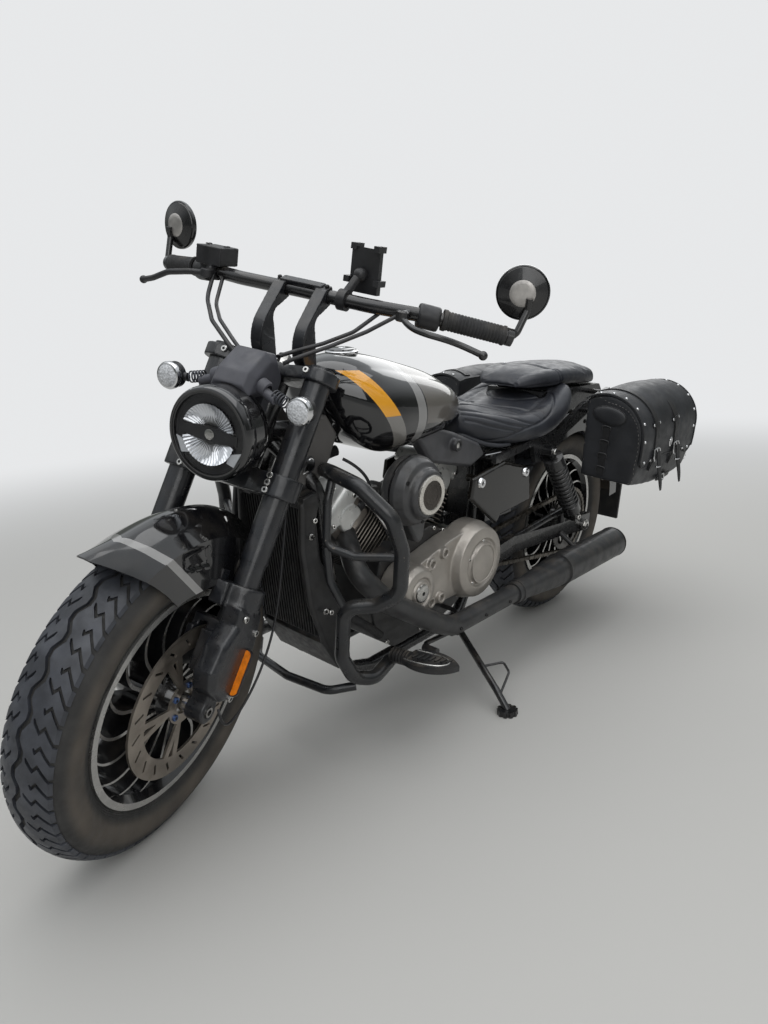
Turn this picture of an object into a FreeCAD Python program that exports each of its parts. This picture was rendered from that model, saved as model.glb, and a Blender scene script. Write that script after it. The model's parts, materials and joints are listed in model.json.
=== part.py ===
import FreeCAD, Part
import math
import os

# Cruiser motorcycle, drawn upright with its steering straight: X forward, Y to its left, Z up,
# millimetres, origin on the ground below the rear axle. At the end its steering is turned and the
# whole machine is leaned onto its side stand, with the origin below the middle of its box.

# Stance
WHEELBASE = 1510.0
FRONT_X = 1510.0
RAKE_DEG = 27.8
TRAIL = 126.0
STEER_DEG = 19.3
LEAN_DEG = 6.97
RUN = 0.05
SEAT_GAP = 0.3

# Wheels: tyre outer radius, width and crown radius
FRONT_R = 320.0
FRONT_TYRE_W = 130.0
REAR_R = 323.0
REAR_TYRE_W = 150.0
CROWN_R = 88.0
FRONT_TYRE_H = 115.0
REAR_TYRE_H = 118.0
LIP_H = 11.0
RIM_LIP = 6.0
FRONT_RIM_W = 104.0
REAR_RIM_W = 116.0
BLADES = 18
BLADE_T = 7.0
BLADE_SWEEP_DEG = 36.0
HUB_R = 44.0
FRONT_DISC_R = 152.0
REAR_DISC_R = 120.0
DISC_T = 5.0
FRONT_DISC_Y = 66.0
REAR_DISC_Y = -72.0
AXLE_R = 10.0
AXLE_BORE_R = 6.0

# Final drive
CHAIN_Y = 88.0
CHAIN_PITCH = 15.875
CHAIN_W = 14.0
PLATE_R = 7.2
REAR_TEETH = 42
DRIVE_TEETH = 15
DRIVE_X = 575.0
DRIVE_Z = 350.0
SPROCKET_T = 6.0
LINK_IN = 6.2
TOOTH_GAP = 0.3

# Fork, in its own frame: s up the steering axis from the ground, n ahead of it
FORK_Y = 110.0
TUBE_R = 25.0
COVER_R = 27.0
LOWER_CLAMP_S = 781.0
TOP_CLAMP_S = 1005.0
LOWER_CLAMP_T = 44.0
TOP_CLAMP_T = 26.0
CLAMP_BOSS_R = 39.0
STEM_R = 14.0
HEAD_TUBE_R = 28.0
LEG_TOP_S = 585.0
LEG_R = 31.0
AXLE_BOSS_R = 24.0
AXLE_BOSS_OUT = 18.0
COLLAR_R = 41.0

FENDER_T = 4.0

# Bars and what they carry
BAR_R = 14.0
GRIP_R = 17.5
RISER_Y = 48.0
MIRROR_R = 52.0
HEADLIGHT_R = 88.0
HEADLIGHT_X = 1394.0
HEADLIGHT_Z = 805.0

# Engine: crank centre, cylinder directions and distances along them
CRANK_X = 816.0
CRANK_Z = 330.0
FRONT_LEAN_DEG = 42.0
REAR_LEAN_DEG = -28.0
FIN_START = 158.0
FIN_PITCH = 11.5
FIN_T = 3.2
FINS = 10
FIN_HALF = 64.0
BARREL_R = 50.0
CASE_Y = 104.0
CASE_RECESS_Y = 70.0
LEFT_EARS = ((792, 442), (842, 426), (800, 326), (842, 326))
CLEANER_X = 925.0
CLEANER_Z = 627.0
CLEANER_R = 80.0
FRONT_HEAD_TOP = 372.0
REAR_HEAD_TOP = 352.0

# Frame tubes
BACKBONE_R = 22.0
DOWN_R = 16.0
CRADLE_Y = 78.0
REAR_POST_Y = 58.0
PIVOT_X = 520.0
PIVOT_Z = 350.0
GUARD_R = 16.0
PEG_Z = 250.0
HOOP_R = 9.0

REAR_FENDER_GAP = 43.0
REAR_TYRE_TOP = 646.0
TAIL_RISE = 147.0
PLATE_RISE = 97.0

# Exhaust
PIPE_R = 25.0
MUFFLER_R = 49.0
MUFFLER_Y = 208.0
MUFFLER_TIP_X = -108.0

# Side stand, from its hinge to its foot
STAND_HINGE = (644.0, 120.0, 168.0)
STAND_AXIS = (-0.3, 0.9, 0.46)
STAND_FOOT = (737.0, 346.0)
STAND_R = 9.0
STAND_FOOT_R = 26.0
STAND_FOOT_T = 14.0

V = FreeCAD.Vector
rake = math.radians(RAKE_DEG)
UP = V(-math.sin(rake), 0, math.cos(rake))
AHEAD = V(math.cos(rake), 0, math.sin(rake))
# the frame is drawn from the front axle: a longer wheelbase sets the rear wheel further back
REAR_X = FRONT_X - WHEELBASE
REAR_Z = REAR_TYRE_TOP - REAR_R
REAR_FENDER_R = REAR_R + REAR_FENDER_GAP
STEER_FOOT = V(FRONT_X + TRAIL, 0, 0)
FORK_N = FRONT_R * math.sin(rake) - TRAIL * math.cos(rake)
AXLE_S = TRAIL * math.sin(rake) + FRONT_R * math.cos(rake)
FORK_FRAME = FreeCAD.Placement(STEER_FOOT, FreeCAD.Rotation(V(0, 1, 0), -RAKE_DEG))
FRONT_AXLE = V(FRONT_X, 0, FRONT_R)
REAR_AXLE = V(REAR_X, 0, REAR_Z)
Y_AXIS = V(0, 1, 0)


def rod(start, end, radius):
    return Part.makeCylinder(radius, (end - start).Length, start, end - start)


def cross_rod(x, z, y0, y1, radius):
    return rod(V(x, y0, z), V(x, y1, z), radius)


def block(x0, x1, y0, y1, z0, z1):
    return Part.makeBox(x1 - x0, y1 - y0, z1 - z0, V(x0, y0, z0))


def bent_path(points, bend):
    # straight runs joined by tangent arcs
    edges = []
    last = points[0]
    for before, corner, after in zip(points, points[1:], points[2:]):
        come = (corner - before).normalize()
        leave = (after - corner).normalize()
        half = come.getAngle(leave) / 2
        shorter = min((corner - before).Length, (after - corner).Length)
        radius = min(bend, 0.48 * shorter / math.tan(half))
        trim = radius * math.tan(half)
        inward = (leave - come).normalize()
        middle = corner + inward * (radius / math.cos(half) - radius)
        first = corner - come * trim
        edges.append(Part.LineSegment(last, first).toShape())
        last = corner + leave * trim
        edges.append(Part.Arc(first, middle, last).toShape())
    edges.append(Part.LineSegment(last, points[-1]).toShape())
    return Part.Wire(edges)


def tube(points, radius, bend):
    points = [V(*p) for p in points]
    circle = Part.Wire(Part.makeCircle(radius, points[0], points[1] - points[0]))
    return bent_path(points, bend).makePipeShell([circle], True, False)


def outline(rows, place):
    # each row is a corner (a, b); a row (a, b, ma, mb) is reached by an arc through (ma, mb)
    edges = []
    last = place(*rows[-1][:2])
    for row in rows:
        here = place(*row[:2])
        if len(row) == 4:
            edges.append(Part.Arc(last, place(*row[2:]), here).toShape())
        elif (here - last).Length > 1e-6:
            edges.append(Part.LineSegment(last, here).toShape())
        last = here
    return Part.Wire(edges)


def slab(rows, y0, y1):
    # side view outline, given as (x, z), with its thickness across
    wire = outline(rows, lambda x, z: V(x, y0, z))
    return Part.Face(wire).extrude(V(0, y1 - y0, 0))


def turned(rows, base, axis):
    # rows are (radius, distance along the axis)
    wire = outline(rows, lambda r, h: V(r, 0, h))
    solid = Part.Face(wire).revolve(V(0, 0, 0), V(0, 0, 1), 360)
    return aimed(solid, base, axis)


def aimed(shape, base, axis):
    shape = shape.copy()
    shape.Placement = FreeCAD.Placement(base, FreeCAD.Rotation(V(0, 0, 1), axis)) * shape.Placement
    return shape


def in_fork(shape):
    shape = shape.copy()
    shape.Placement = FORK_FRAME * shape.Placement
    return shape


def fork_point(s, n, y):
    return FORK_FRAME.multVec(V(n, y, s))


def mirrored(shape):
    return shape.mirror(V(0, 0, 0), Y_AXIS)


def largest(shape):
    return max(shape.Solids, key=lambda solid: solid.Volume)


def joined(shapes):
    return shapes[0].multiFuse(shapes[1:]).removeSplitter()


def both(shape):
    return Part.makeCompound([shape, mirrored(shape)])


def rounded_section(x, top, bottom, half, wide, crown, sole):
    # a closed section across the machine: flat sole, two bulging sides and an arched top
    side = V(x, half, wide)
    shoulder = V(x, half * crown, top - (top - wide) * 0.28)
    foot = V(x, half * sole, bottom)
    flip = lambda p: V(p.x, -p.y, p.z)
    edges = [Part.LineSegment(flip(foot), foot).toShape(),
             Part.Arc(foot, side, shoulder).toShape(),
             Part.Arc(shoulder, V(x, 0, top), flip(shoulder)).toShape(),
             Part.Arc(flip(shoulder), flip(side), flip(foot)).toShape()]
    return Part.Wire(edges)


def lofted(table):
    return Part.makeLoft([rounded_section(*row) for row in table], True, False)


# Tyre: crown arc, shoulders, sidewalls and beads, turned about the axle
def tyre(radius, bead_r, width, rim_w):
    lip_r = bead_r + LIP_H
    crown_y = 0.41 * width
    drop = CROWN_R - math.sqrt(CROWN_R ** 2 - crown_y ** 2)
    wide_r = (radius + bead_r) / 2
    bead_y = rim_w / 2 - RIM_LIP
    rows = [(bead_r, -bead_y), (lip_r, -bead_y),
            (radius - drop, -crown_y, wide_r, -width / 2),
            (radius - drop, crown_y, radius, 0),
            (lip_r, bead_y, wide_r, width / 2), (bead_r, bead_y)]
    return turned(rows, V(0, 0, 0), Y_AXIS)


# Cast wheel: rim with lips and a dropped well, curved blades and a hub bored for its axle
def wheel(bead_r, rim_w, hub_w):
    lip_r = bead_r + LIP_H
    lip_y = rim_w / 2
    seat_y = lip_y - RIM_LIP
    inner_r = bead_r - 13
    rim = turned([(lip_r, -lip_y), (lip_r, -seat_y), (bead_r, -seat_y), (bead_r, seat_y),
                  (lip_r, seat_y), (lip_r, lip_y), (bead_r - 2, lip_y),
                  (inner_r, seat_y - 8), (inner_r, 8 - seat_y), (bead_r - 2, -lip_y)],
                 V(0, 0, 0), Y_AXIS)
    hub = turned([(AXLE_R + RUN, -hub_w / 2), (HUB_R - 12, -hub_w / 2), (HUB_R, -rim_w * 0.36),
                  (HUB_R, rim_w * 0.36), (HUB_R - 12, hub_w / 2), (AXLE_R + RUN, hub_w / 2)],
                 V(0, 0, 0), Y_AXIS)
    blade_half = rim_w * 0.37

    def edge_point(r, degrees, offset):
        a = math.radians(degrees)
        return r * math.cos(a) - offset * math.sin(a), r * math.sin(a) + offset * math.cos(a)

    # each blade bends one way near the hub and the other way near the rim
    inner, outer = HUB_R - 4, inner_r + 5
    turn_r = (inner + outer) / 2
    turn = 0.47 * BLADE_SWEEP_DEG
    bow = 0.14 * BLADE_SWEEP_DEG
    low_r, high_r = (inner + turn_r) / 2, (turn_r + outer) / 2
    half = BLADE_T / 2
    way = lambda r, degrees, offset: edge_point(r, degrees, offset)
    blade = slab([way(inner, 0, -half),
                  way(turn_r, turn, -half) + way(low_r, 0.5 * turn + bow, -half),
                  way(outer, BLADE_SWEEP_DEG, -half) + way(high_r, 0.5 * (turn + BLADE_SWEEP_DEG) - bow, -half),
                  way(outer, BLADE_SWEEP_DEG, half),
                  way(turn_r, turn, half) + way(high_r, 0.5 * (turn + BLADE_SWEEP_DEG) - bow, half),
                  way(inner, 0, half) + way(low_r, 0.5 * turn + bow, half)],
                 -blade_half, blade_half)
    blades = []
    for i in range(BLADES):
        one = blade.copy()
        one.rotate(V(0, 0, 0), Y_AXIS, 360.0 * i / BLADES)
        blades.append(one)
    return joined([rim, hub] + blades)


# Brake disc: slotted ring on a carrier with five arms, bolted to the hub
def brake_disc(radius, side):
    ring_r = radius - 40
    face = DISC_T * side
    parts = [turned([(ring_r, 0), (radius, 0), (radius, face), (ring_r, face)], V(0, 0, 0), Y_AXIS),
             turned([(24, 0), (HUB_R, 0), (HUB_R, face), (24, face)], V(0, 0, 0), Y_AXIS)]
    for i in range(5):
        for lean in (-11, 11):
            arm = block(HUB_R - 6, ring_r + 6, 0, face, -6.5, 6.5) if side > 0 else \
                block(HUB_R - 6, ring_r + 6, face, 0, -6.5, 6.5)
            arm.rotate(V(HUB_R, 0, 0), Y_AXIS, lean)
            arm.rotate(V(0, 0, 0), Y_AXIS, 72 * i)
            parts.append(arm)
    disc = joined(parts)
    slots = []
    for i in range(20):
        slot = block(radius - 31, radius - 9, -8, 8, -2.5, 2.5)
        slot.rotate(V(radius - 20, 0, 0), Y_AXIS, 35)
        slot.rotate(V(0, 0, 0), Y_AXIS, 18 * i)
        slots.append(slot)
    return disc.cut(Part.makeCompound(slots))


def moved(shape, offset):
    shape = shape.copy()
    shape.translate(offset)
    return shape


def make_wheels(nodes):
    nodes["front_tyre"] = moved(tyre(FRONT_R, FRONT_R - FRONT_TYRE_H, FRONT_TYRE_W, FRONT_RIM_W), FRONT_AXLE)
    nodes["front_wheel"] = moved(wheel(FRONT_R - FRONT_TYRE_H, FRONT_RIM_W, 2 * FRONT_DISC_Y), FRONT_AXLE)
    nodes["front_brake_disc"] = moved(brake_disc(FRONT_DISC_R, 1), FRONT_AXLE + Y_AXIS * FRONT_DISC_Y)
    nodes["rear_tyre"] = moved(tyre(REAR_R, REAR_R - REAR_TYRE_H, REAR_TYRE_W, REAR_RIM_W), REAR_AXLE)
    nodes["rear_wheel"] = moved(wheel(REAR_R - REAR_TYRE_H, REAR_RIM_W, -2 * REAR_DISC_Y), REAR_AXLE)
    nodes["rear_brake_disc"] = moved(brake_disc(REAR_DISC_R, -1), REAR_AXLE + Y_AXIS * REAR_DISC_Y)


# Chain: one fixed loop of links with round ends, tangent to both sprockets
def sprocket_radius(teeth):
    return CHAIN_PITCH / (2 * math.sin(math.pi / teeth))


def make_drive(nodes):
    small, large = sprocket_radius(DRIVE_TEETH), sprocket_radius(REAR_TEETH)
    span = math.hypot(DRIVE_X - REAR_X, DRIVE_Z - REAR_Z)
    slope = math.degrees(math.atan2(DRIVE_Z - REAR_Z, DRIVE_X - REAR_X))
    spread = math.degrees(math.asin((large - small) / span))

    def loop(grow):
        top, low = math.radians(slope + 90 - spread), math.radians(slope - 90 + spread)
        at = lambda cx, cz, r, a: (cx + (r + grow) * math.cos(a), cz + (r + grow) * math.sin(a))
        rear, front = math.radians(slope + 180), math.radians(slope)
        return [at(REAR_X, REAR_Z, large, top), at(DRIVE_X, DRIVE_Z, small, top),
                at(DRIVE_X, DRIVE_Z, small, low) + at(DRIVE_X, DRIVE_Z, small, front),
                at(REAR_X, REAR_Z, large, low),
                at(REAR_X, REAR_Z, large, top) + at(REAR_X, REAR_Z, large, rear)]

    half = CHAIN_W / 2
    band = slab(loop(PLATE_R)[:4] + [loop(PLATE_R)[4]], CHAIN_Y - half, CHAIN_Y + half)
    band = band.cut(slab(loop(-LINK_IN), CHAIN_Y - half - 1, CHAIN_Y + half + 1))
    nodes["drive_chain"] = band
    root = large - LINK_IN - TOOTH_GAP
    plate = Part.makeCylinder(root, SPROCKET_T, V(0, 0, 0), Y_AXIS)
    notches = []
    for i in range(REAR_TEETH):
        a = 2 * math.pi * (i + 0.5) / REAR_TEETH
        notches.append(Part.makeCylinder(3.2, SPROCKET_T + 2, V(root * math.cos(a), -1, root * math.sin(a)),
                                         Y_AXIS))
    for i in range(6):
        a = 2 * math.pi * i / 6
        notches.append(Part.makeCylinder(17, SPROCKET_T + 2, V(68 * math.cos(a), -1, 68 * math.sin(a)),
                                         Y_AXIS))
    notches.append(Part.makeCylinder(AXLE_R + 2, SPROCKET_T + 2, V(0, -1, 0), Y_AXIS))
    carrier_y = -REAR_DISC_Y
    carrier = Part.makeCylinder(HUB_R - 2, CHAIN_Y - SPROCKET_T / 2 - carrier_y,
                                V(0, carrier_y - CHAIN_Y + SPROCKET_T / 2, 0), Y_AXIS)
    sprocket = joined([plate, carrier]).cut(Part.makeCompound(notches))
    sprocket = sprocket.cut(Part.makeCylinder(AXLE_R + 2, 60, V(0, -30, 0), Y_AXIS))
    nodes["rear_sprocket"] = moved(sprocket, REAR_AXLE + Y_AXIS * (CHAIN_Y - SPROCKET_T / 2))
    drive_y0 = CASE_RECESS_Y
    nodes["drive_sprocket"] = joined([
        Part.makeCylinder(small - LINK_IN - TOOTH_GAP, SPROCKET_T, V(DRIVE_X, CHAIN_Y - 3, DRIVE_Z), Y_AXIS),
        Part.makeCylinder(14, CHAIN_Y - drive_y0, V(DRIVE_X, drive_y0, DRIVE_Z), Y_AXIS)])


# Fork: clamps, tubes, lower legs with the wide caliper shroud, axle
def make_fork(nodes):
    low0 = LOWER_CLAMP_S - LOWER_CLAMP_T / 2
    top0 = TOP_CLAMP_S - TOP_CLAMP_T / 2

    def clamp(s0, depth):
        rows = [(FORK_N + CLAMP_BOSS_R, FORK_Y), (FORK_N - CLAMP_BOSS_R, FORK_Y, FORK_N, FORK_Y + CLAMP_BOSS_R),
                (-34, 30), (-34, -30), (FORK_N - CLAMP_BOSS_R, -FORK_Y),
                (FORK_N + CLAMP_BOSS_R, -FORK_Y, FORK_N, -FORK_Y - CLAMP_BOSS_R), (44, -40), (44, 40)]
        wire = outline(rows, lambda n, y: V(n, y, s0))
        return Part.Face(wire).extrude(V(0, 0, depth))

    stem = rod(V(0, 0, low0 + 5), V(0, 0, top0 + TOP_CLAMP_T + 8), STEM_R)
    tubes = []
    for side in (-1, 1):
        y = side * FORK_Y
        tubes.append(rod(V(FORK_N, y, LEG_TOP_S - 60), V(FORK_N, y, TOP_CLAMP_S + 20), TUBE_R))
    covers = []
    for a, b in ((LEG_TOP_S + 48, low0), (LOWER_CLAMP_S + LOWER_CLAMP_T / 2, top0)):
        for side in (-1, 1):
            covers.append(rod(V(FORK_N, side * FORK_Y, a), V(FORK_N, side * FORK_Y, b), COVER_R))
    body = joined([clamp(low0, LOWER_CLAMP_T), clamp(top0, TOP_CLAMP_T), stem])
    nodes["triple_clamps"] = in_fork(body.cut(Part.makeCompound(tubes)))
    nodes["fork_tubes"] = in_fork(Part.makeCompound([
        joined([tubes[0], covers[0], covers[2]]), joined([tubes[1], covers[1], covers[3]])]))

    shroud = [(FORK_N + n, AXLE_S + s) for n, s in
              ((-56, 30), (-52, 144), (-38, 206), (42, 206), (38, 170), (62, 130), (70, 78), (54, 46), (2, 24))]
    wire = outline(shroud, lambda n, s: V(n, FORK_Y - 8, s))
    plate = Part.Face(wire).extrude(V(0, 46, 0))
    outer = [e for e in plate.Edges if min(v.Y for v in e.Vertexes) > FORK_Y + 37]
    plate = plate.makeChamfer(9, outer)
    leg = rod(V(FORK_N, FORK_Y, AXLE_S + 34), V(FORK_N, FORK_Y, LEG_TOP_S - 20), LEG_R)
    collar = rod(V(FORK_N, FORK_Y, LEG_TOP_S - 40), V(FORK_N, FORK_Y, LEG_TOP_S), COLLAR_R)
    lug = Part.makeBox(26, 30, 44, V(FORK_N + 30, FORK_Y - 36, LEG_TOP_S - 44))
    boss = rod(V(FORK_N, FORK_Y - 24, AXLE_S), V(FORK_N, FORK_Y + AXLE_BOSS_OUT - 2, AXLE_S), AXLE_BOSS_R)
    neck = Part.makeBox(40, 38, 50, V(FORK_N - 20, FORK_Y - 22, AXLE_S))
    arms = joined([leg, collar, lug, boss, neck, plate])
    arms = arms.cut(Part.makeCompound([
        tubes[1], rod(V(FORK_N, 0, AXLE_S), V(FORK_N, 300, AXLE_S), AXLE_R)]))
    nodes["fork_lower_legs"] = in_fork(both(arms))
    axle = cross_rod(FRONT_X, FRONT_R, -FORK_Y - AXLE_BOSS_OUT, FORK_Y + AXLE_BOSS_OUT, AXLE_R)
    spacers = [cross_rod(FRONT_X, FRONT_R, s * (FRONT_DISC_Y + SEAT_GAP), s * (FORK_Y - 24), 17)
               for s in (-1, 1)]
    hole = cross_rod(FRONT_X, FRONT_R, -300, 300, AXLE_BORE_R)
    spacers = [spacer.cut(nodes["fork_lower_legs"]) for spacer in spacers]
    nodes["front_axle"] = joined([axle] + spacers).cut(hole)


# Front fender: a hood with a flat top and sloping shoulders, drawn out to a point in front
def make_front_fender(nodes):
    # station: degrees round the wheel, then how far the spine, shoulder and hem stand off the tread
    table = [(52, 48, -4, -80), (74, 51, -2, -80), (94, 55, 3, -76), (114, 55, 4, -72), (136, 48, -4, -56)]
    spine_y, bulge_y, shoulder_y, hem_y = 9, 41, 68, 82

    def polar(degrees, reach):
        a = math.radians(degrees)
        return FRONT_X + (FRONT_R + reach) * math.cos(a), FRONT_R + (FRONT_R + reach) * math.sin(a)

    def section(degrees, spine, shoulder, hem, inset):
        bulge = 0.5 * (spine + shoulder) + 0.1 * (degrees - table[0][0])
        half = [(hem_y - inset, hem - 6 * inset), (shoulder_y - 0.9 * inset, shoulder - inset),
                (bulge_y - 0.3 * inset, bulge - inset), (spine_y, spine - inset)]
        pts = []
        for y, reach in half + [(-y, reach) for y, reach in half[::-1]]:
            x, z = polar(degrees, reach)
            pts.append(V(x, y, z))
        return Part.makePolygon(pts + pts[:1])

    outer = Part.makeLoft([section(*row, 0) for row in table], True, False)
    inner_rows = [(table[0][0] - 2,) + table[0][1:]] + table[1:-1] + [(table[-1][0] + 2,) + table[-1][1:]]
    inner = Part.makeLoft([section(*row, FENDER_T) for row in inner_rows], True, False)
    prow = slab([polar(61, 150), polar(61, 46), polar(73, -11), polar(80, -82), polar(84, -170), polar(40, -200),
                 polar(30, 150)], -100, 100)
    hood = outer.cut(inner).cut(prow)
    stay = block(FORK_N + 22, FORK_N + 46, hem_y - 5, hem_y - 0.5, LEG_TOP_S - 40, AXLE_S + 262)
    stays = [in_fork(stay), in_fork(mirrored(stay))]
    legs = nodes["fork_lower_legs"]
    nodes["front_fender"] = joined([hood] + stays).cut(legs)


# Caliper behind the left leg, over the disc
def make_caliper(nodes):
    low, high, inside = AXLE_S + 70, AXLE_S + FRONT_DISC_R - 4, FRONT_DISC_Y - 20
    body = block(FORK_N - 24, FORK_N + 46, inside, FORK_Y - 8, low, high)
    gap = block(FORK_N - 100, FORK_N + 160, FRONT_DISC_Y - 6, FRONT_DISC_Y + DISC_T + 6, low - 130, high + 22)
    inner = block(FORK_N - 26, FORK_N + 44, inside, FRONT_DISC_Y - 6, low, high)
    bridge = block(FORK_N - 4, FORK_N + 32, inside, FORK_Y - 8, high + 10, high + 22)
    shape = joined([body.cut(gap), inner, bridge,
                    block(FORK_N - 4, FORK_N + 32, inside, FRONT_DISC_Y - 6, high - 8, high + 22),
                    block(FORK_N - 4, FORK_N + 32, FRONT_DISC_Y + DISC_T + 6, FORK_Y - 8, high - 8, high + 22)])
    nodes["front_caliper"] = in_fork(shape).cut(nodes["fork_lower_legs"])


def make_headlight(nodes):
    front = V(HEADLIGHT_X, 0, HEADLIGHT_Z)
    back = V(-1, 0, 0)
    # the bucket is a part of a ball whose centre lies inside the bezel
    rim_r, rim_x, ball_x = HEADLIGHT_R - 4, 60.0, 44.0
    ball_r = math.hypot(rim_r, rim_x - ball_x)
    mid = ball_r * math.sqrt(0.5)
    nodes["headlight"] = turned([
        (0, 12), (HEADLIGHT_R - 14, 6), (HEADLIGHT_R - 12, 0), (HEADLIGHT_R - 5, 0),
        (HEADLIGHT_R, 6), (HEADLIGHT_R, 52), (rim_r, rim_x),
        (0, ball_x + ball_r, mid, ball_x + mid)], front, back)
    stem_z = HEADLIGHT_Z + HEADLIGHT_R
    pod = [(1236, stem_z - 18), (1222, stem_z + 20), (1240, stem_z + 50), (1276, stem_z + 58),
           (1330, stem_z + 26), (1346, stem_z + 2), (1340, stem_z - 14)]
    pod = slab(pod, -58, 58)
    pod = pod.makeChamfer(16, [e for e in pod.Edges if abs(abs(e.CenterOfMass.y) - 58) < 0.1
                               and e.CenterOfMass.z > stem_z + 10])
    bridge = slab([(1236, stem_z - 30), (1236, stem_z - 12), (1350, stem_z - 8), (1350, stem_z - 30)], -34, 34)
    arms = [tube([(1300, 0, stem_z + 2), (1304, side * 60, stem_z - 4), (1312, side * 112, stem_z - 18)], 10, 60)
            for side in (-1, 1)]
    cowl = joined([pod, bridge] + arms).cut(nodes["headlight"])
    bracket = in_fork(block(34, 60, -30, 30, LOWER_CLAMP_S + 15, TOP_CLAMP_S - 10))
    cowl = joined([cowl, bracket]).cut(nodes["triple_clamps"]).cut(nodes["headlight"])
    nodes["gauge_cowl"] = cowl
    lens = []
    for side in (-1, 1):
        base = V(1292, side * 144, stem_z - 20)
        lamp = turned([(0, 0), (14, 4), (25, 16), (25, 36), (21, 42), (0, 46)], base, V(1, 0, 0))
        arm = rod(V(1312, side * 104, stem_z - 18.5), V(1312, side * 130, stem_z - 18.5), 8)
        lens.append(joined([lamp, arm]))
    nodes["front_signals"] = Part.makeCompound([largest(lamp.cut(nodes["gauge_cowl"])) for lamp in lens])


def make_bars(nodes):
    bar_mid = (1104, 1050)
    right_half = [(bar_mid[0], 0, bar_mid[1]), (1103, 150, 1049), (1078, 262, 1050), (1007, 406, 1035)]
    left = tube(right_half, BAR_R, 120)
    whole = joined([left, mirrored(left)])
    # inside the grips the bar is thinner
    nodes["handlebar"] = whole
    start, end = V(1075, 272, 1049.5), V(1007, 406, 1035)
    along = (end - start).normalize()
    grip = turned([(GRIP_R - 3, 0), (GRIP_R + 2, 0), (GRIP_R + 2, 6), (GRIP_R, 8), (GRIP_R, 118),
                   (GRIP_R + 2, 122), (GRIP_R + 2, 126), (GRIP_R - 3, 126)], end - along * 130, along)
    grip = grip.cut(left)
    nodes["grips"] = both(grip)
    risers = []
    clamp_top = TOP_CLAMP_S + TOP_CLAMP_T / 2
    base = fork_point(clamp_top, 10, RISER_Y)
    for side in (-1, 1):
        arm = slab([(base.x - 17, base.z - 2), (1172, 1005, 1190, 962), (1122, 1062), (1098, 1070),
                    (1086, 1050), (1098, 1032), (1132, 1016), (1146, 984, 1150, 996),
                    (base.x - 46, base.z + 10), (base.x - 44, base.z - 8)],
                   side * RISER_Y - 13, side * RISER_Y + 13)
        risers.append(arm)
    plate = slab([(1090, 1062), (1100, 1074), (1122, 1068), (1116, 1058)], -RISER_Y, RISER_Y)
    body = joined(risers + [plate]).cut(nodes["handlebar"]).cut(nodes["triple_clamps"])
    nodes["bar_risers"] = body

    # clutch side: perch, lever, switch housing; brake side the same with a reservoir
    ctrl = []
    perch = V(1086, 236, 1050)
    housing = turned([(0, 0), (22, 0), (24, 4), (24, 40), (22, 44), (0, 44)], perch + along * 8, along)
    clamp_ring = turned([(0, -26), (20, -26), (20, -6), (0, -6)], perch, along)
    pivot = V(1118, 226, 1046)
    web = joined([rod(perch + V(0, -14, 0), pivot, 11), rod(pivot - V(0, 0, 9), pivot + V(0, 0, 9), 13)])
    lever = tube([(1118, 226, 1046), (1128, 262, 1043), (1116, 330, 1030), (1112, 372, 1010),
                  (1100, 408, 1000)], 6.5, 60)
    tip = Part.makeSphere(9, V(1100, 408, 1000))
    side_ctrl = joined([housing, clamp_ring, web, lever, tip])
    ctrl.append(side_ctrl)
    right = mirrored(side_ctrl)
    reservoir = block(1046, 1112, -262, -200, 1062, 1100)
    neck = block(1062, 1100, -250, -212, 1046, 1064)
    ctrl.append(joined([right, reservoir, neck]))
    nodes["hand_controls"] = Part.makeCompound([largest(one.cut(nodes["handlebar"]).cut(nodes["grips"]))
                                               for one in ctrl])

    mirror = []
    foot, knee, head = (1007, 406, 1035), (1000, 424, 1046), (990, 432, 1112)
    stalk = tube([foot, (1003, 414, 1034), knee, (985, 432, 1090), head], 7, 12)
    cap = turned([(0, 0), (GRIP_R, 0), (GRIP_R, 12), (12, 14), (0, 14)], end, along)
    glass = turned([(0, 0), (26, 0), (MIRROR_R - 4, 8), (MIRROR_R, 14), (MIRROR_R, 18), (MIRROR_R - 3, 20),
                    (0, 20)], V(990, 416, 1118), V(-0.96, -0.22, 0.05))
    mirror.append(joined([stalk, cap, glass]))
    nodes["mirrors"] = both(mirror[0].cut(nodes["grips"]).cut(nodes["handlebar"]))

    ring = turned([(0, -9), (21, -9), (21, 9), (0, 9)], V(1103.5, 92, 1049.5), Y_AXIS)
    arm = rod(V(1100, 92, 1060), V(1076, 104, 1096), 9)
    ball = Part.makeSphere(14, V(1072, 106, 1100))
    back = slab([(1040, 1064), (1052, 1150), (1066, 1152), (1058, 1064)], 78, 140)
    claws = [block(1038, 1074, y - 6, y + 6, z - 6, z + 6) for y, z in
             ((84, 1152), (134, 1152), (76, 1088), (142, 1088))]
    nodes["phone_holder"] = joined([ring, arm, ball, back] + claws).cut(nodes["handlebar"])


def make_cables(nodes):
    # table: radius, route
    routes = [
        (4.5, [(1106, -218, 1046), (1140, -206, 1000), (1196, -150, 968), (1236, -80, 940), (1252, -30, 914)]),
        (4.0, [(1104, -196, 1040), (1150, -176, 994), (1200, -128, 974), (1240, -66, 950), (1258, -18, 924)]),
        (4.0, [(1112, 218, 1046), (1146, 170, 1006), (1192, 120, 972), (1234, 70, 942), (1250, 28, 914)]),
        (4.0, [(1092, 170, 1040), (1136, 138, 998), (1184, 100, 972), (1228, 56, 950), (1248, 12, 926)])]
    nodes["control_cables"] = Part.makeCompound([tube(points, r, 60) for r, points in routes]) \
        .cut(nodes["hand_controls"]).cut(nodes["gauge_cowl"]).cut(nodes["handlebar"])


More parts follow.
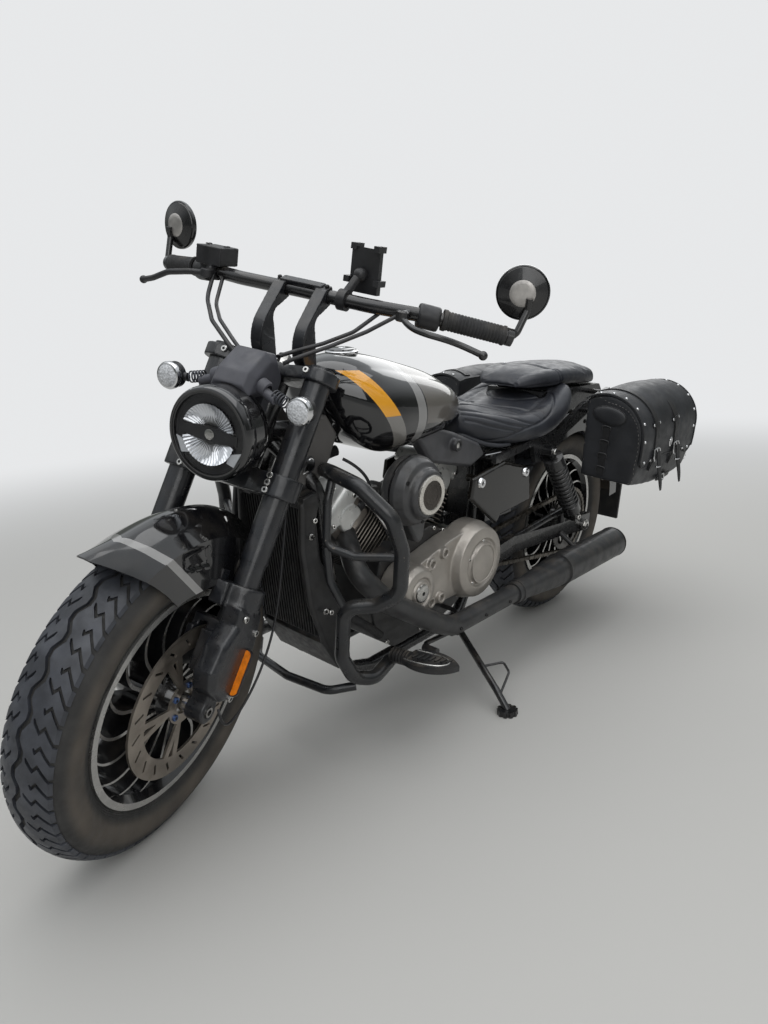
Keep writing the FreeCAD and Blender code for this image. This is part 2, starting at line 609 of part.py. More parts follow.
# Frame: head tube and backbone, down tubes and cradle, seat rails, swingarm, shocks
def make_frame(nodes):
    head = rod(V(0, 0, LOWER_CLAMP_S + LOWER_CLAMP_T / 2 + 6), V(0, 0, TOP_CLAMP_S - TOP_CLAMP_T / 2 - 6),
               HEAD_TUBE_R)
    bore = rod(V(0, 0, 700), V(0, 0, 1100), STEM_R + RUN)
    head = in_fork(head)
    spine = rod(V(1218, 0, 775), V(640, 0, 715), BACKBONE_R)
    gusset = slab([(1215, 742), (1222, 790), (1090, 765), (1090, 745)], -9, 9)
    nodes["main_frame"] = joined([head, spine, gusset]).cut(in_fork(bore))
    down = tube([(1190, 0, 748), (1142, 84, 660), (1104, 84, 420), (1056, CRADLE_Y, 200),
                 (960, CRADLE_Y, 172), (600, CRADLE_Y, 180), (PIVOT_X, REAR_POST_Y, 250),
                 (PIVOT_X, REAR_POST_Y, 630), (600, 40, 706)], DOWN_R, 70)
    cross = [cross_rod(x, z, -y, y, DOWN_R - 2) for x, z, y in
             ((640, 178, CRADLE_Y), (PIVOT_X, 600, REAR_POST_Y), (PIVOT_X, 290, REAR_POST_Y))]
    stand_boss = joined([cross_rod(644, 172, CRADLE_Y, 100, 15)])
    frame = joined([down, mirrored(down), stand_boss] + cross).cut(nodes["main_frame"])
    nodes["cradle"] = frame

    rail = slab([(352, 590), (330, 585), (262, 604), (214, 640), (66, 692), (-84, 742), (-84, 762),
                 (88, 728), (240, 668), (356, 664), (560, 640), (560, 622), (372, 640)], 136, 150)
    tie = [cross_rod(PIVOT_X + 22, 631, REAR_POST_Y - 20, 150, 10), cross_rod(232, 655, 40, 150, 10),
           cross_rod(-60, 746, 40, 150, 8)]
    carrier = [rod(V(60, 142, 706), V(60, 226, 700), 8), rod(V(-70, 142, 748), V(-70, 226, 740), 8)]
    left = joined([rail] + tie + carrier)
    fender_top = REAR_Z + REAR_FENDER_R
    strap = slab([(REAR_X - 80, fender_top - 17), (60, fender_top - 17), (60, 705), (REAR_X - 80, 705)], -30, 30)
    base = slab([(250, 660), (250, 772), (-128, 764), (-150, 740), (-90, 702), (60, 700), (180, 668)], -92, 92)
    nodes["seat_rails"] = joined([left, mirrored(left), base, strap]).cut(nodes["cradle"])

    arm = slab([(PIVOT_X + 24, 376), (PIVOT_X + 24, 324), (430, 338), (REAR_X + 150, REAR_Z - 5),
                (REAR_X - 48, REAR_Z - 29), (REAR_X - 48, REAR_Z + 29), (REAR_X + 150, REAR_Z + 39), (430, 388)],
               122, 146)
    brace = rod(V(PIVOT_X - 20, 134, 368), V(REAR_X + 128, 134, REAR_Z + 75), 11)
    stay = rod(V(REAR_X + 128, 134, REAR_Z + 75), V(REAR_X + 128, 134, REAR_Z + 27), 12)
    pivot = cross_rod(PIVOT_X, PIVOT_Z, -146, 146, 22)
    swing = joined([arm, mirrored(arm), brace, mirrored(brace), stay, mirrored(stay), pivot])
    pads = [cross_rod(REAR_X + 122, REAR_Z + 62, s * 130, s * 158, 14) for s in (-1, 1)]
    axle_hole = cross_rod(REAR_X, REAR_Z, -300, 300, AXLE_R)
    nodes["swingarm"] = joined([swing] + pads).cut(axle_hole).cut(nodes["cradle"])
    axle = cross_rod(REAR_X, REAR_Z, -160, 160, AXLE_R)
    spacer = [cross_rod(REAR_X, REAR_Z, -REAR_DISC_Y * s + s * 25.5, s * 122, 17) if s > 0 else
              cross_rod(REAR_X, REAR_Z, -122, REAR_DISC_Y - SEAT_GAP, 17) for s in (1, -1)]
    nuts = [cross_rod(REAR_X, REAR_Z, s * 146, s * 158, 18) for s in (-1, 1)]
    nodes["rear_axle"] = joined([axle] + spacer + nuts).cut(cross_rod(REAR_X, REAR_Z, -300, 300, AXLE_BORE_R))

    top, bottom = V(314, 172, 622), V(REAR_X + 122, 172, REAR_Z + 62)
    along = (bottom - top).normalize()
    length = (bottom - top).Length
    coils, coil_start, coil_r, wire_r = 10, 64.0, 24.0, 6.0
    pitch = (length - coil_start - 66) / coils
    spring = []
    for i in range(coils):
        low = coil_start + (i + 1) * pitch
        mid = low - pitch / 2
        spring += [(coil_r - 2, low - pitch + 1.5), (coil_r - 2, low - 1.5, coil_r + wire_r, mid)]
    body = turned([(0, 4), (13, 4), (13, 22), (29, 26), (30, 60)] + spring +
                  [(27, length - 64), (27, length - 32), (15, length - 28), (13, length - 6), (0, length - 6)],
                  top, along)
    parts = [body, cross_rod(top.x, top.z, 150, 184, 16), cross_rod(bottom.x, bottom.z, 158, 184, 16)]
    shock = joined(parts)
    nodes["rear_shocks"] = both(shock).cut(nodes["seat_rails"]).cut(nodes["swingarm"])


def make_radiator(nodes):
    core = slab([(1150, 322), (1196, 652), (1164, 660), (1118, 330)], -92, 92)
    ribs = []
    for i in range(22):
        y = -88 + i * 176 / 21
        ribs.append(slab([(1150, 326), (1156, 326), (1201, 648), (1195, 650)], y - 1.6, y + 1.6))
    nodes["radiator"] = joined([core] + ribs)
    side = slab([(1176, 800), (1208, 792), (1216, 660), (1213, 540), (1186, 410), (1140, 300), (1092, 222),
                 (1052, 224), (1064, 300), (1104, 424), (1152, 510), (1166, 580), (1134, 700), (1120, 760)],
                62, 70)
    panel = slab([(1206, 640), (1206, 540), (1184, 410), (1140, 300), (1092, 222), (1052, 224), (1064, 300),
                  (1104, 424), (1152, 510), (1166, 580), (1152, 640)], 92.5, 106)
    bevel = [e for e in panel.Edges if e.CenterOfMass.y > 105.9]
    panel = panel.makeChamfer(6, bevel)
    upper = slab([(1104, 806), (1160, 806), (1190, 794), (1197, 700), (1190, 636), (1160, 640), (1134, 662),
                  (1094, 712), (1072, 762)], 62, 76)
    upper = upper.makeChamfer(5, [e for e in upper.Edges if e.CenterOfMass.y > 75.9])
    link = slab([(1200, 626), (1200, 650), (1160, 658), (1156, 626)], 62, 104)
    belly = slab([(1144, 306), (1092, 222), (1052, 224), (1064, 300), (1088, 320)], 0, 100)
    left = joined([panel, upper, link, belly])
    nodes["radiator_shrouds"] = joined([left, mirrored(left)]).cut(nodes["radiator"]).cut(nodes["cradle"]) \
        .cut(nodes["main_frame"])


# Engine: crankcase, two finned barrels, head covers, covers on both sides, air cleaner
def cylinder_frame(lean):
    return FreeCAD.Placement(V(CRANK_X, 0, CRANK_Z), FreeCAD.Rotation(Y_AXIS, lean))


def make_engine(nodes):
    case = slab([(986, 330), (960, 452), (880, 480), (760, 492), (700, 460), (610, 440), (548, 400),
                 (548, 296), (650, 236), (760, 206), (900, 206), (966, 250)], -CASE_Y, CASE_Y)
    case = case.cut(block(540, 642, CASE_RECESS_Y, CASE_Y + 1, 290, 412))
    barrels, covers = [], []
    for lean, top in ((FRONT_LEAN_DEG, FRONT_HEAD_TOP), (REAR_LEAN_DEG, REAR_HEAD_TOP)):
        fins = []
        for i in range(FINS):
            fin = Part.makeBox(2 * FIN_HALF, 2 * FIN_HALF, FIN_T, V(-FIN_HALF, -FIN_HALF, FIN_START + i * FIN_PITCH))
            upright = [e for e in fin.Edges if abs(e.CenterOfMass.z - FIN_START - i * FIN_PITCH - FIN_T / 2) < 0.1]
            fins.append(fin.makeFillet(18, upright))
        fins_top = FIN_START + (FINS - 1) * FIN_PITCH + FIN_T
        core = Part.makeCylinder(BARREL_R, fins_top - 96, V(0, 0, 96))
        head = Part.makeBox(118, 118, top - 46 - fins_top, V(-59, -59, fins_top))
        head = head.makeFillet(16, [e for e in head.Edges if abs(abs(e.CenterOfMass.x) - 59) < 0.1
                                    and abs(abs(e.CenterOfMass.y) - 59) < 0.1])
        lid = Part.makeBox(126, 132, 46, V(-63, -66, top - 46))
        lid = lid.makeFillet(20, [e for e in lid.Edges if e.CenterOfMass.z > top - 30])
        lobe = Part.makeCylinder(34, 140, V(0, -70, top - 64), Y_AXIS)
        lid = joined([lid, lobe.common(Part.makeBox(200, 200, 120, V(-100, -100, top - 80)))])
        barrel = joined([core, head] + fins).cut(lid)
        for shape, group in ((barrel, barrels), (lid, covers)):
            shape.Placement = cylinder_frame(lean) * shape.Placement
            group.append(shape)
    valley = barrels[1].common(barrels[0])
    if valley.Volume > 0:
        barrels[1] = barrels[1].cut(barrels[0])
    nodes["cylinders"] = Part.makeCompound([largest(b.cut(case)) for b in barrels])
    nodes["head_covers"] = Part.makeCompound(covers)
    nodes["crankcase"] = case.cut(nodes["cradle"])

    def cover(rows, x, z):
        return turned(rows, V(x, 0, z), Y_AXIS)

    clutch = cover([(0, 100), (96, 100), (104, 112), (104, 150), (92, 184), (66, 190), (62, 184), (56, 184),
                    (52, 192), (0, 194)], 655, 384)
    front = cover([(0, 100), (60, 100), (62, 110), (62, 168), (54, 182), (38, 186), (36, 180), (30, 180),
                   (28, 186), (0, 188)], 903, 376)
    bridge = slab([(672, 306), (880, 312), (905, 360), (900, 430), (760, 464), (690, 474), (655, 450)], 104, 160)
    ear = [cross_rod(x, z, 104, 172, 15) for x, z in LEFT_EARS]
    left = joined([clutch, front, bridge] + ear)
    left = left.cut(Part.makeCompound([cross_rod(x, z, 160, 176, 8) for x, z in LEFT_EARS]))
    right = joined([cover([(0, -104), (92, -104), (92, -150), (80, -172), (50, -176), (48, -170), (0, -170)],
                          690, 360),
                    cover([(0, -104), (66, -104), (66, -140), (56, -158), (0, -160)], 880, 350),
                    slab([(690, 270), (880, 286), (880, 416), (690, 450)], -140, -104)])
    nodes["engine_covers"] = Part.makeCompound([left.cut(nodes["crankcase"]), right.cut(nodes["crankcase"])])

    cleaner = turned([(0, 126), (64, 126), (76, 138), (CLEANER_R, 150), (CLEANER_R, 174), (70, 194), (58, 200),
                      (56, 210), (50, 217), (0, 219)], V(CLEANER_X, 0, CLEANER_Z), Y_AXIS)
    tongue = slab([(890, 580), (862, 560), (872, 502), (884, 490), (900, 496), (952, 580)], 128, 162)
    tongue = tongue.makeChamfer(6, [e for e in tongue.Edges if e.CenterOfMass.y > 161.9])
    neck = joined([cross_rod(850, 575, -30, 135, 24), rod(V(850, 0, 575), V(985, 0, 592), 19),
                   rod(V(850, 0, 575), V(735, 0, 606), 19)])
    cleaner = joined([cleaner, tongue, slab([(822, 550), (880, 556), (940, 620), (880, 656), (822, 606)], 112, 140),
                      neck])
    nodes["air_cleaner"] = cleaner.cut(nodes["cylinders"]).cut(nodes["head_covers"]).cut(nodes["crankcase"])


def make_exhaust(nodes):
    left = tube([(1006, 30, 520), (1060, 100, 506), (1090, 152, 470), (1036, 190, 400), (862, 207, 290),
                 (800, MUFFLER_Y, 264), (515, MUFFLER_Y, 262)], PIPE_R, 90)
    right = tube([(590, -62, 560), (545, -120, 540), (560, -190, 430), (640, -214, 290), (600, -MUFFLER_Y, 262),
                  (515, -MUFFLER_Y, 262)], PIPE_R, 60)
    near = [nodes["cylinders"], nodes["head_covers"], nodes["crankcase"], nodes["engine_covers"],
            nodes["cradle"]]
    for other in near:
        left = left.cut(other)
        right = right.cut(other)
    nodes["exhaust_pipes"] = Part.makeCompound([largest(left), largest(right)])
    length = 515 - MUFFLER_TIP_X
    sleeve = turned([(PIPE_R + 0.0, -10), (PIPE_R + 5, -10), (PIPE_R + 6, 60), (MUFFLER_R - 4, 210), (MUFFLER_R - 4, 250),
                     (MUFFLER_R, 252), (MUFFLER_R, length), (MUFFLER_R - 5, length + 3), (MUFFLER_R - 8, length),
                     (MUFFLER_R - 8, length - 70), (0, length - 70), (0, 0), (PIPE_R, 0)],
                    V(515, MUFFLER_Y, 262), V(-1, 0, -0.02))
    hanger = rod(V(150, 146, 330), V(150, MUFFLER_Y, 290), 8)
    muffler = joined([sleeve, hanger])
    nodes["mufflers"] = both(muffler).cut(nodes["swingarm"]).cut(nodes["exhaust_pipes"])


def make_bodywork(nodes):
    tank = lofted([(1090, 888, 822, 54, 856, 0.6, 0.7), (1056, 912, 770, 104, 842, 0.62, 0.7),
                   (1000, 922, 722, 142, 826, 0.62, 0.66), (900, 909, 708, 152, 806, 0.6, 0.62),
                   (780, 880, 716, 142, 790, 0.58, 0.6), (690, 852, 728, 110, 778, 0.56, 0.6),
                   (610, 800, 736, 62, 764, 0.56, 0.7)])
    nodes["fuel_tank"] = tank.cut(rod(V(1218, 0, 775), V(600, 0, 711), BACKBONE_R + 3)) \
        .cut(nodes["head_covers"]).cut(nodes["main_frame"])
    seat = lofted([(622, 776, 690, 66, 712, 0.6, 0.7), (560, 774, 664, 112, 692, 0.62, 0.74),
                   (440, 752, 655, 160, 676, 0.64, 0.86), (320, 754, 662, 176, 690, 0.64, 0.86),
                   (220, 786, 690, 168, 716, 0.62, 0.86), (150, 800, 730, 138, 752, 0.6, 0.86)])
    clear = [nodes["fuel_tank"], nodes["seat_rails"], nodes["cradle"], nodes["main_frame"]]
    for other in clear:
        seat = seat.cut(other)
    nodes["rider_seat"] = seat
    pad = lofted([(336, 806, 786, 66, 796, 0.7, 0.8), (270, 836, 784, 104, 806, 0.66, 0.85),
                  (120, 842, 782, 116, 806, 0.64, 0.86), (-40, 832, 772, 104, 798, 0.62, 0.86),
                  (-140, 806, 764, 66, 784, 0.6, 0.86)])
    nodes["pillion_seat"] = pad.cut(nodes["rider_seat"]).cut(nodes["seat_rails"])

    half = 98
    top_r = REAR_FENDER_R
    hem_r = top_r - 66
    outer = turned([(top_r, -half + 14), (top_r, half - 14), (top_r - 14, half), (hem_r, half), (hem_r, half - 4),
                    (top_r - 16, half - 4), (top_r - 5, half - 18), (top_r - 5, 18 - half),
                    (top_r - 16, 4 - half), (hem_r, 4 - half), (hem_r, -half), (top_r - 14, -half)],
                   REAR_AXLE, Y_AXIS)
    keep = slab([(REAR_X, REAR_Z), (REAR_X + 260, REAR_Z + 437), (REAR_X, 1200), (REAR_X - 900, 800),
                 (REAR_X - 900, REAR_Z + 72)], -150, 150)
    fender = outer.common(keep)
    nodes["rear_fender"] = fender.cut(nodes["seat_rails"]).cut(nodes["swingarm"]).cut(nodes["rear_shocks"])
    # the plate and the lamp stand off the back of the fender
    plate_x = REAR_X - math.sqrt(top_r ** 2 - PLATE_RISE ** 2)
    tail_x = REAR_X - math.sqrt(top_r ** 2 - TAIL_RISE ** 2)
    tail_z = REAR_Z + TAIL_RISE
    by_plate = lambda rows: [(plate_x + x, REAR_Z + z) for x, z in rows]
    by_tail = lambda rows: [(tail_x + x, tail_z + z) for x, z in rows]
    plate = slab(by_plate([(-33, -73), (-39, 69), (-35, 69), (-29, -73)]), -95, 95)
    frame = joined([slab(by_plate([(-29, -77), (-37, 77), (-27, 77), (-19, -77)]), -104, 104),
                    slab(by_plate([(-29, 17), (-21, 107), (1, 97), (-3, 17)]), -30, 30)])
    nodes["plate_bracket"] = frame.cut(nodes["rear_fender"])
    nodes["number_plate"] = plate.cut(nodes["plate_bracket"])
    lamp = slab(by_tail([(-17, 30), (-57, 28), (-69, 42), (-63, 78), (-17, 90)]), -48, 48)
    stalks = [rod(V(tail_x - 17, side * 30, tail_z + 8), V(tail_x - 17, side * 150, tail_z + 8), 9)
              for side in (-1, 1)]
    bulbs = [turned([(0, 0), (14, 4), (24, 14), (24, 34), (20, 40), (0, 42)],
                    V(tail_x - 5, side * 160, tail_z + 8), V(-1, 0, 0)) for side in (-1, 1)]
    mount = slab(by_tail([(5, 0), (5, 90), (-27, 90), (-27, 0)]), -34, 34)
    nodes["tail_lights"] = joined([lamp, mount] + stalks + bulbs).cut(nodes["rear_fender"])

    cover = slab([(660, 600), (515, 622), (384, 585), (367, 485), (520, 474), (540, 452), (668, 548)], 138, 152)
    cover = cover.makeChamfer(5, [e for e in cover.Edges if e.CenterOfMass.y > 151.9])
    posts = [cross_rod(x, z, 96, 140, 10) for x, z in ((610, 585), (430, 575))]
    left = joined([cover] + posts)
    box = block(376, PIVOT_X - 8, -96, 96, 440, 628)
    nodes["battery_box"] = box.cut(nodes["cradle"]).cut(nodes["seat_rails"])
    side = both(left)
    for other in ("seat_rails", "cradle", "battery_box", "rear_shocks", "exhaust_pipes"):
        side = side.cut(nodes[other])
    nodes["side_covers"] = side
    cast = slab([(868, 732), (808, 662), (640, 622), (574, 646), (604, 680), (712, 722), (785, 744)], 96, 128)
    cast = cast.makeChamfer(8, [e for e in cast.Edges if e.CenterOfMass.y > 127.9])
    knob = cross_rod(728, 696, 120, 144, 15)
    cast = joined([cast, knob, cross_rod(650, 650, 40, 100, 9)])
    cast = both(cast)
    for other in ("seat_rails", "cradle", "cylinders", "head_covers", "fuel_tank", "rider_seat", "battery_box",
                  "main_frame", "air_cleaner", "side_covers"):
        cast = cast.cut(nodes[other])
    nodes["frame_covers"] = cast


def make_guards(nodes):
    main = tube([(1120, 84, 694), (1154, 140, 704), (1152, 212, 690), (1124, 274, 632), (1102, 284, 560),
                 (1100, 280, 466), (1120, 232, 432), (1158, 178, 424), (1150, 165, 300), (1112, 165, 234),
                 (1068, 186, 222), (1000, 172, 232)], GUARD_R, 45)
    hoop = tube([(1150, 138, 700), (1170, 142, 650), (1178, 146, 556), (1150, 200, 540), (1104, 276, 546)],
                HOOP_R, 24)
    lower = tube([(1178, 146, 556), (1172, 150, 480), (1156, 174, 424)], HOOP_R, 40)
    left = joined([main, hoop, lower])
    left = left.cut(nodes["radiator_shrouds"]).cut(nodes["cradle"]).cut(nodes["main_frame"]) \
        .cut(nodes["exhaust_pipes"])
    nodes["crash_bar_left"] = left
    right = mirrored(joined([main, hoop, lower]))
    nodes["crash_bar_right"] = right.cut(nodes["radiator_shrouds"]).cut(nodes["cradle"]) \
        .cut(nodes["main_frame"]).cut(nodes["exhaust_pipes"])
    cross = tube([(1104, -165, 210), (1148, -120, 198), (1160, 0, 194), (1148, 120, 198), (1104, 165, 210)], 10, 50)
    nodes["crash_bar_cross"] = cross.cut(nodes["crash_bar_left"]).cut(nodes["crash_bar_right"]) \
        .cut(nodes["radiator_shrouds"])

    board = Part.Face(outline([(1012, 220), (952, 336, 1006, 300), (958, 216, 930, 280)],
                              lambda x, y: V(x, y, PEG_Z))).extrude(V(0, 0, 12))
    arm = tube([(1000, 172, 226), (1000, 186, PEG_Z - 4), (990, 226, PEG_Z + 2)], 12, 16)
    pin = turned([(0, 0), (16, 0)] + [row for i in range(5) for row in
                                      ((18, 2 + 8 * i), (18, 7 + 8 * i), (15, 8 + 8 * i), (15, 9 + 8 * i))]
                 + [(18, 42), (18, 46), (0, 46)], V(998, 180, PEG_Z + 4), V(-0.15, 1, 0))
    peg = joined([board, arm, pin]).cut(nodes["crash_bar_left"])
    lever = tube([(700, 104, 250), (700, 150, 250), (760, 176, 222), (880, 184, 236), (900, 214, 240)], 6, 24)
    toe = rod(V(900, 196, 240), V(900, 236, 240), 9)
    left_control = joined([lever, toe])
    right_control = mirrored(joined([lever, toe]))
    peg_right = mirrored(joined([board, arm, pin])).cut(nodes["crash_bar_right"])
    near = ("crankcase", "cradle", "engine_covers", "exhaust_pipes")
    controls = Part.makeCompound([left_control, right_control])
    for name in near:
        controls = controls.cut(nodes[name])
    nodes["foot_boards"] = Part.makeCompound([peg, peg_right])
    nodes["foot_levers"] = controls


def make_saddlebags(nodes):
    # section across: inner wall, floor, leaning outer wall and an arched lid
    def section(x, grow):
        rows = [(222, 540 - grow), (372, 534 - grow), (392, 660, 388, 600), (222, 770 + grow, 330, 776 + grow)]
        return outline(rows, lambda y, z: V(x, y, z))
    bag = Part.makeLoft([section(218, -6), section(180, 0), section(-140, 6), section(-180, 0)], True, False)
    carriers = nodes["seat_rails"]
    nodes["saddlebag_left"] = bag.cut(carriers).cut(nodes["rear_shocks"])
    nodes["saddlebag_right"] = mirrored(bag).cut(carriers).cut(nodes["rear_shocks"])


# Parking: steering turned, then leaned until both tyres and the stand's foot are on the ground
def steering_turn():
    return FreeCAD.Placement(V(0, 0, 0), FreeCAD.Rotation(UP, STEER_DEG), STEER_FOOT)


def tyre_low(centre, axle, radius):
    # lowest point of a tyre whose crown is an arc round a leaned axle
    return centre.z - (radius - CROWN_R) * math.sqrt(1 - axle.z ** 2) - CROWN_R


def lean_placement(pitch, lift):
    lean = FreeCAD.Placement(V(0, 0, lift), FreeCAD.Rotation(V(1, 0, 0), -LEAN_DEG))
    return lean * FreeCAD.Placement(V(0, 0, 0), FreeCAD.Rotation(Y_AXIS, pitch))


def settle():
    pitch, lift = 0.0, 0.0
    for _ in range(8):
        pose = lean_placement(pitch, lift)
        rear = tyre_low(pose.multVec(REAR_AXLE), pose.Rotation.multVec(Y_AXIS), REAR_R)
        turn = pose * steering_turn()
        front = tyre_low(turn.multVec(FRONT_AXLE), turn.Rotation.multVec(Y_AXIS), FRONT_R)
        pitch += math.degrees((front - rear) / WHEELBASE)
        lift -= rear
    return lean_placement(pitch, lift)


LEANED = settle()


# Side stand, drawn where it stands: hinge lug, bent leg, wire tang and a flat foot
def make_stand(nodes):
    hinge = LEANED.multVec(V(*STAND_HINGE))
    axis = LEANED.Rotation.multVec(V(*STAND_AXIS)).normalize()
    foot = V(STAND_FOOT[0], STAND_FOOT[1], STAND_FOOT_T / 2)
    ankle = foot + V(-4, -30, 44)
    leg = tube([tuple(hinge), tuple(ankle), tuple(foot + V(0, 0, 4))], STAND_R, 40)
    eye = rod(hinge - axis * 8, hinge + axis * 8, 17)
    pad = Part.makeCylinder(STAND_FOOT_R, STAND_FOOT_T, V(STAND_FOOT[0], STAND_FOOT[1], 0))
    notches = [Part.makeCylinder(4, STAND_FOOT_T + 2, V(STAND_FOOT[0] + STAND_FOOT_R * math.cos(a),
                                                        STAND_FOOT[1] + STAND_FOOT_R * math.sin(a), -1))
               for a in [2 * math.pi * i / 10 for i in range(10)]]
    start = hinge + (ankle - hinge) * 0.62
    tang = tube([tuple(start), tuple(start + V(-34, 44, 10)), tuple(start + V(-38, 58, -16)),
                 tuple(ankle + V(-2, 8, -4))], 3.2, 8)
    pin = rod(hinge - axis * 19.6, hinge - axis * 7, 8)
    nodes["side_stand"] = joined([leg, eye, pad.cut(Part.makeCompound(notches)), tang])
    lug = rod(hinge - axis * 26, hinge - axis * 8.3, 15)
    reach = rod(LEANED.multVec(V(640, CRADLE_Y + 8, 176)), hinge - axis * 20, 12)
    bracket = joined([lug, reach])
    back = LEANED.inverse()
    bracket.Placement = back * bracket.Placement
    nodes["stand_bracket"] = largest(bracket.cut(nodes["cradle"]))


STEERED = ("triple_clamps", "fork_tubes", "fork_lower_legs", "front_axle", "front_fender", "front_caliper",
           "headlight", "gauge_cowl", "front_signals", "handlebar", "grips", "bar_risers", "hand_controls",
           "mirrors", "phone_holder", "control_cables", "front_tyre", "front_wheel", "front_brake_disc")
GROUNDED = ("side_stand",)


def build():
    nodes = {}
    make_wheels(nodes)
    make_drive(nodes)
    make_fork(nodes)
    make_front_fender(nodes)
    make_caliper(nodes)
    make_headlight(nodes)
    make_bars(nodes)
    make_cables(nodes)
    make_frame(nodes)
    make_radiator(nodes)
    make_engine(nodes)
    make_exhaust(nodes)
    make_bodywork(nodes)
    make_guards(nodes)
    make_saddlebags(nodes)
    make_stand(nodes)
    for name, shape in nodes.items():
        if name in GROUNDED:
            continue
        pose = LEANED * steering_turn() if name in STEERED else LEANED
        shape.Placement = pose * shape.Placement
    return nodes


def box_middle(nodes):
    box = FreeCAD.BoundBox()
    for shape in nodes.values():
        box.add(shape.optimalBoundingBox(False))
    return V(-box.Center.x, -box.Center.y, 0)


NODES = build()
SHIFT = box_middle(NODES)
os.makedirs("parts", exist_ok=True)
for name, shape in NODES.items():
    shape.translate(SHIFT)
    shape.exportStep("parts/" + name + ".step")
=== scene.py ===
import bpy
import bmesh
import json
import math
from mathutils import Matrix, Vector, kdtree

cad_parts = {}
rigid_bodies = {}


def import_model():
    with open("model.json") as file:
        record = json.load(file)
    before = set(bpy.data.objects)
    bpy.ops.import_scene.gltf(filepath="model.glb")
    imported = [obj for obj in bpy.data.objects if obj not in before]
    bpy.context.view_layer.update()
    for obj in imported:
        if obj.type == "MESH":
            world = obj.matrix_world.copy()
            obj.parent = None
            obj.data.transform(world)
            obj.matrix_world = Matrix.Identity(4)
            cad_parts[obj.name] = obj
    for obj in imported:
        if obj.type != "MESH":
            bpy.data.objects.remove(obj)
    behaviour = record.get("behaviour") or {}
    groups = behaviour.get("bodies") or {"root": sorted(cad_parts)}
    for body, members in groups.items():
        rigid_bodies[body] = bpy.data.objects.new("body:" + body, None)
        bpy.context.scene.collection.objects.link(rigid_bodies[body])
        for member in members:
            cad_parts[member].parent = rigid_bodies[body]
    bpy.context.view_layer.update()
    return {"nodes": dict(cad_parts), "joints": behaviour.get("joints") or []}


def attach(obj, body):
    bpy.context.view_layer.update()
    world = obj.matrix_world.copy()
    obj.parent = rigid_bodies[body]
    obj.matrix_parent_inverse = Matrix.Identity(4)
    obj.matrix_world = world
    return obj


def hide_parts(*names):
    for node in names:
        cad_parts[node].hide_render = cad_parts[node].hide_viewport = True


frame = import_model()
node = frame["nodes"]

# Floor and studio: a pale sweep under the parked machine, soft light from above and from both
# sides, and the camera where the photographer stood, low and ahead on the side stand's side.
scene = bpy.context.scene
scene.view_settings.view_transform = "Standard"
BACKDROP = (0.80, 0.81, 0.82, 1)


def wired(tree, kind, inputs=(), **settings):
    # a node of this kind; each input is given a value, or is linked to another node's output
    made = tree.nodes.new(kind)
    for key, value in settings.items():
        setattr(made, key, value)
    for key, value in dict(inputs).items():
        if isinstance(value, bpy.types.NodeSocket):
            tree.links.new(value, made.inputs[key])
        else:
            made.inputs[key].default_value = value
    return made


def vectors(tree, kind, *values):
    return wired(tree, "ShaderNodeVectorMath", enumerate(values), operation=kind).outputs


def sums(tree, kind, *values):
    # a math node on one or two values, a chain of them on more
    while len(values) > 2:
        values = (sums(tree, kind, *values[:2]), *values[2:])
    return wired(tree, "ShaderNodeMath", enumerate(values), operation=kind).outputs[0]


def spread(tree, value, low, high, to_low=0.0, to_high=1.0):
    return wired(tree, "ShaderNodeMapRange", {"Value": value, "From Min": low, "From Max": high,
                                              "To Min": to_low, "To Max": to_high},
                 interpolation_type="SMOOTHSTEP").outputs[0]


def blended(tree, share, a, b):
    ends = {slot: (*value, 1) if isinstance(value, tuple) else value for slot, value in ((6, a), (7, b))}
    return wired(tree, "ShaderNodeMix", {0: share, **ends}, data_type="RGBA").outputs[2]


def pale_floor():
    # the floor turns into the backdrop's own colour some metres away from the machine
    material = bpy.data.materials.new("pale_floor")
    material.use_nodes = True
    tree = material.node_tree
    tree.nodes.clear()
    at = wired(tree, "ShaderNodeTexCoord").outputs["Object"]
    far = spread(tree, vectors(tree, "LENGTH", at)["Value"], 1.6, 6.5)
    share = sums(tree, "MULTIPLY", far, wired(tree, "ShaderNodeLightPath").outputs["Is Camera Ray"])
    matte = wired(tree, "ShaderNodeBsdfDiffuse", {"Color": (0.50, 0.49, 0.47, 1)})
    glow = wired(tree, "ShaderNodeEmission", {"Color": BACKDROP})
    both = wired(tree, "ShaderNodeMixShader", {0: share, 1: matte.outputs[0], 2: glow.outputs[0]})
    wired(tree, "ShaderNodeOutputMaterial", {"Surface": both.outputs[0]})
    return material


floor_mesh = bpy.data.meshes.new("floor")
sheet = bmesh.new()
bmesh.ops.create_grid(sheet, x_segments=2, y_segments=2, size=30)
sheet.to_mesh(floor_mesh)
sheet.free()
floor = bpy.data.objects.new("floor", floor_mesh)
scene.collection.objects.link(floor)
floor_mesh.materials.append(pale_floor())

world = bpy.data.worlds.new("studio")
scene.world = world
world.use_nodes = True
sky = world.node_tree
sky.nodes.clear()
sky_way = wired(sky, "ShaderNodeTexCoord").outputs["Generated"]
sky_level = spread(sky, wired(sky, "ShaderNodeSeparateXYZ", {0: sky_way}).outputs["Z"], 0.12, 0.62)
sky_light = wired(sky, "ShaderNodeBackground", {"Color": blended(sky, sky_level, (0.13, 0.14, 0.13),
                                                                 (0.93, 0.97, 1.0)), "Strength": 0.75})
sky_seen = wired(sky, "ShaderNodeBackground", {"Color": BACKDROP})
sky_ray = wired(sky, "ShaderNodeLightPath").outputs["Is Camera Ray"]
sky_mix = wired(sky, "ShaderNodeMixShader", {0: sky_ray, 1: sky_light.outputs[0], 2: sky_seen.outputs[0]})
wired(sky, "ShaderNodeOutputWorld", {"Surface": sky_mix.outputs[0]})

